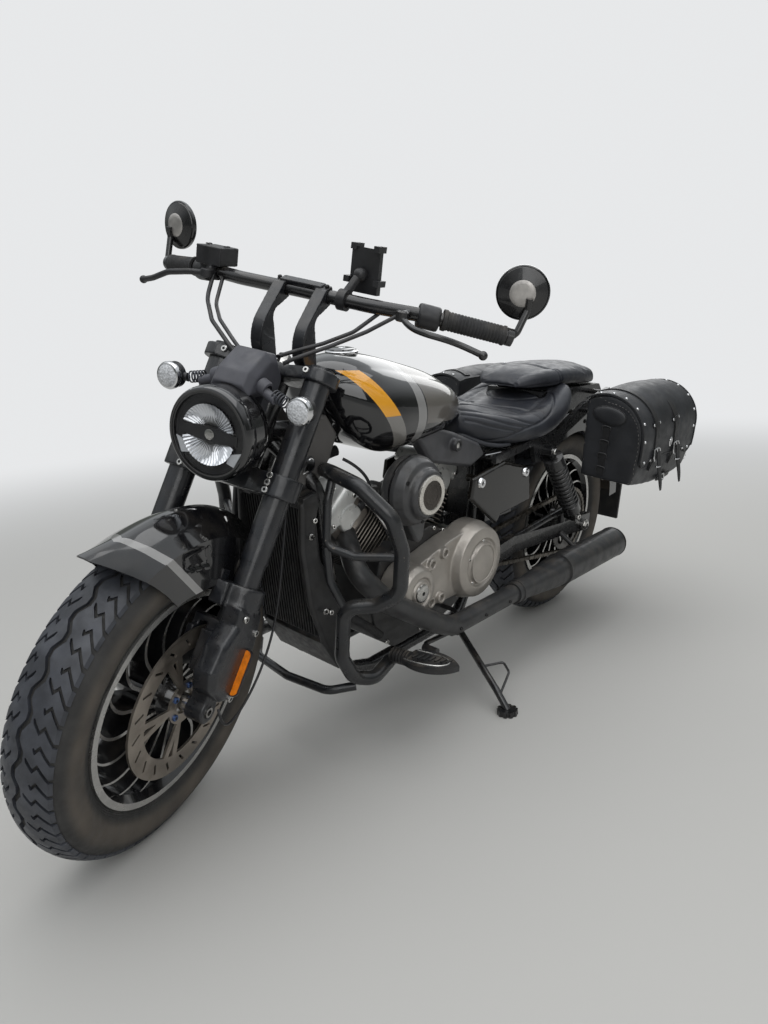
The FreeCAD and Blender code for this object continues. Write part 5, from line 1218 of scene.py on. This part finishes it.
front_roll = [(480, 138, 660), (520, 130, 662), (556, 112, 668), (584, 88, 680), (604, 66, 692),
              (613, 40, 698), (615, 0, 700)]
front_roll = front_roll + [(x, -y, z) for x, y, z in front_roll[-2::-1]]
roll_line = flowing(front_roll)
tube_along("seat_front_roll", roll_line, [4 + 3.5 * math.sin(math.pi * i / (len(roll_line) - 1)) ** 0.5
                                          for i in range(len(roll_line))], leather, 12)
# a chrome rod under each side of the seat: a painted highlight standing in for the bright line along the
# black seat rail
for s in (-1, 1):
    tube_along("seat_trim_rod", [(566, s * 118, 640), (470, s * 146, 645)], 3.2, chrome, 12)

# Saddlebags: stiff black cowhide, a box whose outer wall sags, under a lid bent over the top and laced,
# riveted and strapped down. The right bag is the left one mirrored.
bag_leather = finish_of("bag_leather", (0.018, 0.019, 0.022), 0.46, mottle=0.25, mottle_scale=12, grain=0.35,
                        grain_scale=520, dust=0.12, dust_rgb=(0.24, 0.22, 0.20))
strap_leather = finish_of("strap_leather", (0.011, 0.011, 0.012), 0.5, mottle=0.25, mottle_scale=30,
                          grain=0.3, grain_scale=600, dust=0.12, dust_rgb=(0.24, 0.22, 0.20))
lace_thread = finish_of("lace_thread", (0.16, 0.15, 0.14), 0.7, mottle=0.3, mottle_scale=80)


def arc_through(a, b, c, steps):
    # points on the arc from a over b to c
    (ax_, ay), (bx, by), (cx, cy) = a, b, c
    d = 2 * (ax_ * (by - cy) + bx * (cy - ay) + cx * (ay - by))
    ux = ((ax_ ** 2 + ay ** 2) * (by - cy) + (bx ** 2 + by ** 2) * (cy - ay) + (cx ** 2 + cy ** 2)
          * (ay - by)) / d
    uy = ((ax_ ** 2 + ay ** 2) * (cx - bx) + (bx ** 2 + by ** 2) * (ax_ - cx) + (cx ** 2 + cy ** 2)
          * (bx - ax_)) / d
    r = math.hypot(ax_ - ux, ay - uy)
    one, two = math.atan2(ay - uy, ax_ - ux), math.atan2(cy - uy, cx - ux)
    turn = (two - one + math.pi) % (2 * math.pi) - math.pi
    return [(ux + r * math.cos(one + turn * i / steps), uy + r * math.sin(one + turn * i / steps))
            for i in range(steps + 1)]


def bag_wall(x, out=0.0):
    # the bag's section at x: from the inner edge of the top over the arch and down to the floor
    if x > 180:
        grow = -6 * (x - 180) / 38
    elif x > -140:
        grow = 6 * (180 - x) / 320
    else:
        grow = 6 * (x + 180) / 40
    line = arc_through((222, 770 + grow), (330, 776 + grow), (392, 660), 26)
    line += arc_through((392, 660), (388, 600), (372, 534 - grow), 14)[1:]
    moved = []
    for i, (y, z) in enumerate(line):
        y0, z0 = line[max(0, i - 1)]
        y1, z1 = line[min(len(line) - 1, i + 1)]
        length = math.hypot(y1 - y0, z1 - z0)
        moved.append(((y - (z1 - z0) / length * out), z + (y1 - y0) / length * out))
    return moved


def on_wall(x, share, out=0.0):
    # a point on the section, share 0 at the inner top edge and 1 at the floor
    line = bag_wall(x, out)
    steps = [0.0]
    for (y0, z0), (y1, z1) in zip(line, line[1:]):
        steps.append(steps[-1] + math.hypot(y1 - y0, z1 - z0))
    want = share * steps[-1]
    for i in range(len(line) - 1):
        if want <= steps[i + 1] + 1e-9:
            t = (want - steps[i]) / (steps[i + 1] - steps[i])
            return (x, line[i][0] * (1 - t) + line[i + 1][0] * t, line[i][1] * (1 - t) + line[i + 1][1] * t)
    return (x, *line[-1])


def lid_end(x):
    # how far down the wall the lid reaches: two rounded tabs with a shallow scallop between them
    inside = min(abs(x - 214), abs(x + 176))
    tab = 0.80 if inside > 74 else 0.80 + 0.055 * (1 - math.cos(math.pi * min(1.0, (74 - inside) / 40))) / 2
    corner = max(0.0, 1 - inside / 30)
    return tab - 0.075 * (1 - math.sqrt(max(0.0, 1 - corner ** 2)))


def bent_sheet(name, xs, reach, out, thick, material):
    # leather bent over the bag: a grid on the wall with an inner face, closed round its rim
    bm = bmesh.new()
    grids = [[[bm.verts.new(mm(PARKED, on_wall(x, reach(x) * j / 34, off))) for j in range(35)] for x in xs]
             for off in (out + thick, out)]
    for grid in grids:
        skin(bm, grid, ring=False)
    skin(bm, [[row[0] for row in grid] + grid[-1][1:] + [row[-1] for row in grid[-2::-1]] + grid[0][-2:0:-1]
              for grid in grids])
    return object_from(name, mesh_from(name, bm), "frame", [material], None, 50)


def strap_on(name, path, width, thick):
    # a flat strap through points given with the way its face looks
    bm = bmesh.new()
    rows = []
    for i, (at, face) in enumerate(path):
        before, after = path[max(0, i - 1)][0], path[min(len(path) - 1, i + 1)][0]
        along = (Vector(after) - Vector(before)).normalized()
        face = Vector(face).normalized()
        side = along.cross(face).normalized()
        half = width / 2 if isinstance(width, (int, float)) else width[i] / 2
        rows.append([bm.verts.new(mm(PARKED, Vector(at) + side * a * half + face * b * thick))
                     for a, b in ((-1, 0), (-0.96, 1), (0.96, 1), (1, 0))])
    skin(bm, rows, caps=(0, -1))
    return object_from(name, mesh_from(name, bm), "frame", [strap_leather], None, 40)


def domes(name, places, radius, height):
    # round headed rivets; places are (point, way) in upright millimetres
    bm = bmesh.new()
    for at, way in places:
        turn = aimed(PARKED, at, way)
        rings = []
        for r, y in ((1.0, -0.3), (0.98, 0.25), (0.8, 0.68), (0.42, 0.94)):
            rings.append([bm.verts.new(turn @ Vector((radius * r * math.cos(a) / 1000, y * height / 1000,
                                                      radius * r * math.sin(a) / 1000)))
                          for a in (2 * math.pi * k / 12 for k in range(12))])
        skin(bm, rings, caps=(0, -1))
    return object_from(name, mesh_from(name, bm), "frame", [chrome], None, 60)


def wall_way(x, share):
    a, b = on_wall(x, max(0, share - 0.01)), on_wall(x, min(1, share + 0.01))
    along = Vector(b) - Vector(a)
    return Vector((0, -along.z, along.y)).normalized() * (1 if along.z < 0 or along.y > 0 else -1)


def dress_bag(cad):
    first = set(bpy.data.objects)
    body = rounded(cad, "frame", bag_leather, 4.2, 10, 36000)
    bend = [221 - 404 * i / 40 for i in range(41)]
    bent_sheet("bag_lid", bend, lid_end, 1.2, 3.2, bag_leather)
    edge = [on_wall(219, lid_end(219) * i / 40, 5.0) for i in range(41)]
    hem = [on_wall(x, lid_end(x), 4.6) for x in bend]
    back = [on_wall(-181, lid_end(-181) * (1 - i / 40), 5.0) for i in range(41)]
    tube_along("lid_piping", edge + hem[1:-1] + back, 2.0, strap_leather)
    rivets = []
    for x in (205, -167):
        for share in (0.10, 0.20, 0.30, 0.41, 0.53, 0.66):
            rivets.append((on_wall(x, share, 4.6), wall_way(x, share)))
        for inward, share in ((20, 0.815), (62, 0.81)):
            rivets.append((on_wall(x - math.copysign(inward, x), share, 4.6), wall_way(x, 0.81)))
    for top_x, low_x in ((160, 118), (35, -28)):
        run = []
        for i in range(37):
            share = 0.03 + 0.74 * i / 36
            x = top_x + (low_x - top_x) * i / 36
            run.append((on_wall(x, share, 4.8), wall_way(x, share)))
        strap_on("lid_strap", run, 25, 3.0)
        under = [(on_wall(low_x, 0.70 + 0.2 * i / 8, 2.0 + 4 * math.sin(math.pi * i / 8)),
                  wall_way(low_x, 0.8)) for i in range(9)]
        strap_on("bag_strap", under, 22, 2.6)
        keep = on_wall(low_x + (top_x - low_x) * 0.33, 0.555, 7.6)
        way = wall_way(keep[0], 0.555)
        strap_on("strap_keeper", [((keep[0] + a, keep[1] - abs(a) * 0.12, keep[2] - a * 0.12), way)
                                  for a in (-24, -13, 0, 13, 24)], [15, 13, 13, 13, 15], 2.6)
        for a in (-19, 19):
            rivets.append(((keep[0] + a, keep[1] - 1.6, keep[2] - a * 0.12), way))
        made = on_wall(low_x, 0.775, 9.0)
        way = wall_way(low_x, 0.775)
        loop = [(18, 15), (18, -15), (-18, -15), (-18, 15)]
        line = flowing([(made[0] + a, made[1] - 0.1 * b + 2, made[2] + b) for a, b in loop + loop[:1]], 6)
        tube_along("buckle", line, 2.3, chrome)
        tube_along("buckle_pin", [(made[0], made[1] + 1, made[2] + 16),
                                  (made[0], made[1] + 4, made[2] - 15)], 1.8, chrome)
        tail = flowing([(made[0] + a, made[1] + 2 + b, made[2] - c) for a, b, c in
                        ((0, 3, -8), (-1, 5, 14), (-3, 10, 44), (-6, 16, 78), (-9, 19, 104))], 6)
        widths = [20 - (i / (len(tail) - 1)) ** 6 * 14 for i in range(len(tail))]
        strap_on("strap_tail", [(at, (0.05, 1, 0.12 + 0.2 * i / len(tail))) for i, at in enumerate(tail)],
                 widths, 3.0)
        loop_at = (made[0] - 2, made[1] + 9, made[2] - 34)
        line = [(loop_at[0] + 13 * math.cos(a), loop_at[1] + 5 * math.sin(a), loop_at[2]) for a in
                (2 * math.pi * k / 16 for k in range(17))]
        tube_along("tail_keeper", line, 1.8, chrome)
    domes("bag_rivets", rivets, 4.4, 3.4)
    hole = on_wall(10, 0.72, 4.8)
    turn = aimed(PARKED, hole, wall_way(10, 0.72)) @ Matrix.Diagonal((0.72, 1, 1.15, 1))
    ring = turned_mesh("bag_eyelet", [(r / 1000, y / 1000) for r, y in ((6, 0.5), (8, 2.2), (11.5, 2.0),
                                                                        (13, 0.2))], 32)
    object_from("bag_eyelet", ring, "frame", [chrome], turn, 50)
    strap_on("floor_strap", [((x, 380, 532 - 0.03 * x), (0, 1, -0.3)) for x in (-46, -30, 0, 30, 46)],
             [12, 16, 16, 16, 12], 4)
    line = flowing([(12 + a, 385, 530 + b) for a, b in ((12, 9), (12, -9), (-12, -9), (-12, 9), (12, 9))], 6)
    tube_along("floor_buckle", line, 2.0, chrome)
    # front and back ends: an oval pouch, a laced strip below it and a sewn border
    for end, facing in ((218, 1), (-180, -1)):
        pouch = []
        for i in range(28):
            a = 2 * math.pi * i / 28
            pouch.append((293 + 49 * math.cos(a) - 3 * math.sin(a), 728 + (24 if math.sin(a) > 0 else 27) *
                          math.sin(a) - 0.05 * 49 * math.cos(a)))
        bm = bmesh.new()
        rings = []
        for inset, rise in ((1.0, 0.4), (0.97, 3.6), (0.86, 5.8), (0.66, 7.4), (0.4, 8.2)):
            rings.append([bm.verts.new(mm(PARKED, (end + facing * rise, 293 + (y - 293) * inset,
                                                   728 + (z - 728) * inset))) for y, z in pouch])
        skin(bm, rings, caps=(-1,))
        object_from("end_pouch", mesh_from("end_pouch", bm), "frame", [bag_leather], None, 50)
        tube_along("pouch_seam", [(end + facing * 1.5, *p) for p in pouch + pouch[:1]], 1.8, strap_leather)
        strap_on("lace_strip", [((end + facing * 0.6, 289 - 0.05 * (690 - z), z), (facing, 0, 0)) for z in
                                (700, 660, 600, 556)], 20, 1.8)
        for k, z in enumerate((690, 650, 612, 574)):
            y = 289 - 0.05 * (690 - z)
            slot_line = [(y - 12, z - 6), (y - 11, z + 6), (y + 11, z + 5), (y + 12, z - 5)]
            slot_line = slot_line[::-1] if k % 2 else slot_line
            line = [(end + facing * 3.2, yy, zz) for yy, zz in slot_line]
            tube_along("lace", flowing(line, 4), 2.2, strap_leather)
        border = flowing([(end + facing * 0.6, y, z) for y, z in (
            (230, 548), (366, 544), (380, 600), (384, 660), (372, 712), (340, 748), (290, 762), (232, 760),
            (230, 548))], 10)
        bm = bmesh.new()
        for one, two in zip(border[::2], border[1::2]):
            way = (two - one).normalized()
            two = one + way * min((two - one).length, 5.0)
            side = way.cross(Vector((facing, 0, 0))) * 0.6
            lift = Vector((facing * 1.0, 0, 0))
            low = [bm.verts.new(mm(PARKED, p)) for p in (one - side, one + side, two + side, two - side)]
            high = [bm.verts.new(mm(PARKED, p + lift)) for p in (one, two)]
            bm.faces.new((low[0], low[3], high[1], high[0]))
            bm.faces.new((low[1], high[0], high[1], low[2]))
            bm.faces.new((low[0], high[0], low[1]))
            bm.faces.new((low[3], low[2], high[1]))
            bm.faces.new(low)
        object_from("border_stitches", mesh_from("stitches", bm), "frame", [lace_thread], None,
                    None)
    made = [piece for piece in bpy.data.objects if piece not in first]
    return body, made


left_bag, left_pieces = dress_bag("saddlebag_left")
flip = PARKED @ Matrix.Diagonal((1, -1, 1, 1)) @ PARKED.inverted()
upright_hang = Matrix(((1, 0, 0, 0), (0, 1, -0.09, 0.054), (0, 0, 1, 0), (0, 0, 0, 1)))
for piece in left_pieces:
    mesh = piece.data.copy()
    mesh.transform(flip)
    if piece.name.startswith("strap_tail"):
        # on the far side the lean lays the loose strap ends against the bag
        mesh.transform(PARKED @ upright_hang @ PARKED.inverted())
    mesh.flip_normals()
    twin = bpy.data.objects.new(piece.name + "_right", mesh)
    scene.collection.objects.link(twin)
    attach(twin, "frame")
    if piece == left_bag:
        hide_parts("saddlebag_right")

# Rear fender: pressed steel in gloss black outside, brown with road dust inside, and the plate's
# bracket, bare plate, lamp and signals that stand off its back.
rear_lacquer = finish_of("rear_fender_lacquer", (0.006, 0.006, 0.007), 0.10, coat=1.0, mottle=0.2, dust=0.06)
tree = rear_lacquer.node_tree
xyz = in_pose(tree, PARKED)
height = sums(tree, "SUBTRACT", xyz[2], 323.0)
from_axle = sums(tree, "POWER",
                 sums(tree, "ADD", *(sums(tree, "POWER", part, 2.0) for part in (xyz[0], height))), 0.5)
inner = sums(tree, "MULTIPLY", spread(tree, from_axle, 361.4, 362.2, 1, 0),
             spread(tree, sums(tree, "ABSOLUTE", xyz[1]), 94.2, 94.8, 1, 0))
painted(rear_lacquer, inner, (0.075, 0.060, 0.047), 0.85)
dress("rear_fender", rear_lacquer)
plate_black = finish_of("plate_bracket_black", (0.016, 0.016, 0.016), 0.55, mottle=0.3, mottle_scale=20,
                          grain=0.2, dust=0.85, dust_rgb=(0.17, 0.14, 0.11))
plate_white = finish_of("plate_blank", (0.50, 0.50, 0.49), 0.4, mottle=0.08, mottle_scale=6, dust=0.35)
dress("plate_bracket", plate_black)
dress("number_plate", plate_white)
red_lens = finish_of("tail_lens", (0.30, 0.008, 0.008), 0.12, coat=1.0, mottle=0.25, mottle_scale=60)
dress("tail_lights", moulded_black)
lamp_face = slab_mesh("tail_lens", [(-392.5, 504), (-404.6, 514), (-398.9, 544), (-386, 548.6),
                                    (-390, 530)], -43, 43)
object_from("tail_lens", lamp_face, "frame", [red_lens], PARKED, 40)
for side in (-1, 1):
    base = (-340, side * 160, 478)
    lathe("rear_signal_bezel", [(24.2, 30), (25.4, 32), (25.4, 37), (23, 42), (20.5, 42.5), (20.5, 39)],
          "frame", chrome, PARKED, base, (-1, 0, 0), 48, closed=True)
    lathe("rear_signal_lens", [(0, 48), (9, 47.4), (16, 45.4), (21, 41.5), (21.5, 38)], "frame",
          signal_lens, PARKED, base, (-1, 0, 0), 48)
fit_bolts("plate_bolts", [(PARKED, (-391.5, s * 62, 366), (-1, 0, -0.04)) for s in (-1, 1)], "frame",
          bolt_bright, radius=6, height=3)
fit_bolts("fender_bolts", [(PARKED, (-150 + 55 * k, s * 98, 607 + 22 * k), (0, s, 0))
                           for s in (-1, 1) for k in (0, 2)], "frame", bolt_black, radius=7, height=3)

# Final drive: steel sprockets and a roller chain, its plates in pairs on rollers at 15.875 mm, oiled
# and browned by the road.
chain_steel = finish_of("chain_steel", (0.16, 0.145, 0.125), 0.38, metallic=0.9, mottle=0.45, mottle_scale=60,
                        dust=0.4, dust_rgb=(0.10, 0.08, 0.06))
sprocket_steel = finish_of("sprocket_steel", (0.14, 0.135, 0.13), 0.4, metallic=0.85, mottle=0.35,
                           mottle_scale=30, dust=0.35, dust_rgb=(0.10, 0.08, 0.06))
dress("drive_sprocket", sprocket_steel)
dress("rear_sprocket", sprocket_steel)
dress("rear_axle", bare_steel)
PITCH = 15.875


def link_mesh(name, half_y, waist, roller, plate=6.6):
    # two figure of eight plates and the pair of rollers between them
    bm = bmesh.new()
    bow = [math.radians(k * 22.5) for k in range(-4, 5)]
    right = [(PITCH / 2 + plate * math.cos(a), plate * math.sin(a)) for a in bow]
    outline = right + [(0, waist)] + [(-x, z) for x, z in right[::-1]] + [(0, -waist)]
    for y in (-half_y, half_y):
        slab(bm, outline, y - 0.8, y + 0.8)
    for x in (-PITCH / 2, PITCH / 2):
        round_ = [(x + roller * math.cos(a), roller * math.sin(a))
                  for a in (math.pi * k / 5 for k in range(10))]
        slab(bm, round_, -half_y - 0.9, half_y + 0.9)
    return mesh_from(name, bm)


def chain_tree():
    tree, keys, given = node_group("links_round_the_sprockets", {
        "Links": "Int", "Inner link": "Object", "Outer link": "Object", "Steel": "Material"})
    curve = wired(tree, "GeometryNodeMeshToCurve", {0: given["Mesh"]}).outputs[0]
    even = wired(tree, "GeometryNodeResampleCurve", {"Curve": curve, "Count": given["Links"]}).outputs[0]
    tangent = wired(tree, "GeometryNodeInputTangent").outputs[0]
    turn = wired(tree, "FunctionNodeAlignEulerToVector", {"Vector": tangent}, axis="X",
                 pivot_axis="Y").outputs[0]
    odd = sums(tree, "MODULO", wired(tree, "GeometryNodeInputIndex").outputs[0], 2)
    put = []
    for label, chosen in (("Inner link", odd), ("Outer link", rest(tree, odd))):
        piece = wired(tree, "GeometryNodeObjectInfo", {"Object": given[label]}).outputs["Geometry"]
        put.append(placed(tree, even, piece, turn, Selection=chosen))
    whole = given_out(tree, joined(tree, *put))
    wired(tree, "NodeGroupOutput", {0: with_finish(tree, whole, given["Steel"])})
    return tree, keys


def chain_path(near, far, small, large):
    # both sprocket arcs and the two tangents between them, in (x, z) millimetres
    span = math.hypot(near[0] - far[0], near[1] - far[1])
    slope = math.atan2(near[1] - far[1], near[0] - far[0])
    taper = math.asin((large - small) / span)
    top, low = slope + math.pi / 2 - taper, slope - math.pi / 2 + taper
    points = []
    for (x, z), radius, start, sweep, steps in ((near, small, top, low - top, 24),
                                                (far, large, low, top - low - 2 * math.pi, 48)):
        for a in (start + sweep * k / steps for k in range(steps + 1)):
            points.append((x + radius * math.cos(a), z + radius * math.sin(a)))
    return points


route = chain_path((575, 350), (0, 323), PITCH / 2 / math.sin(math.pi / 15),
                   PITCH / 2 / math.sin(math.pi / 42))
around = sum(math.dist(a, b) for a, b in zip(route, route[1:] + route[:1]))
path_mesh = bpy.data.meshes.new("chain_path")
path_mesh.from_pydata([(x / 1000, 0.088, z / 1000) for x, z in route],
                      [(i, (i + 1) % len(route)) for i in range(len(route))], [])
path = bpy.data.objects.new("chain_path", path_mesh)
inner_link = bpy.data.objects.new("inner_link", link_mesh("inner_link", 3.6, 4.8, 5.0))
outer_link = bpy.data.objects.new("outer_link", link_mesh("outer_link", 5.4, 4.4, 2.6))
for made in (path, inner_link, outer_link):
    scene.collection.objects.link(made)
chain_mesh = grown(path, chain_tree(), {"Links": 2 * round(around / PITCH / 2), "Inner link": inner_link,
                                        "Outer link": outer_link, "Steel": chain_steel})
for made in (inner_link, outer_link):
    bpy.data.objects.remove(made)
roller_chain = object_from("roller_chain", chain_mesh, "frame", [], PARKED, 30)
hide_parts("drive_chain")

# Small trim: amber reflectors in black frames, screwed to the outer faces of the fork legs.
amber = finish_of("amber_reflector", (0.85, 0.22, 0.01), 0.18, coat=0.8, mottle=0.2, mottle_scale=90)
for side in (-1, 1):
    line = Vector((1477, side * 150, 346)) - Vector((1430, side * 150, 428))
    turn = line.normalized().to_track_quat("Z", "Y").to_matrix().to_4x4()
    outline = [(10.8 * math.cos(a), (34 if math.sin(a) > 0 else -34) + 11 * math.sin(a)) for a in
               (2 * math.pi * k / 20 for k in range(20))]
    for name, low, high, grow, finish, slot_name in (
            ("reflector_frame", -4, 2.2, 1.10, moulded_black, "plastic_black"),
            ("reflector", 0, 4.4, 0.92, amber, "lens")):
        plate = slab_mesh(name, [(x * grow, z * (1 + (grow - 1) * 0.3)) for x, z in outline], low, high)
        if side < 0:
            plate.transform(Matrix.Diagonal((1, -1, 1, 1)))
            plate.flip_normals()
        place = STEERED @ Matrix.Translation((1.4535, side * 0.1505, 0.387)) @ turn
        object_from(name, plate, "steering", [finish], place, 40)
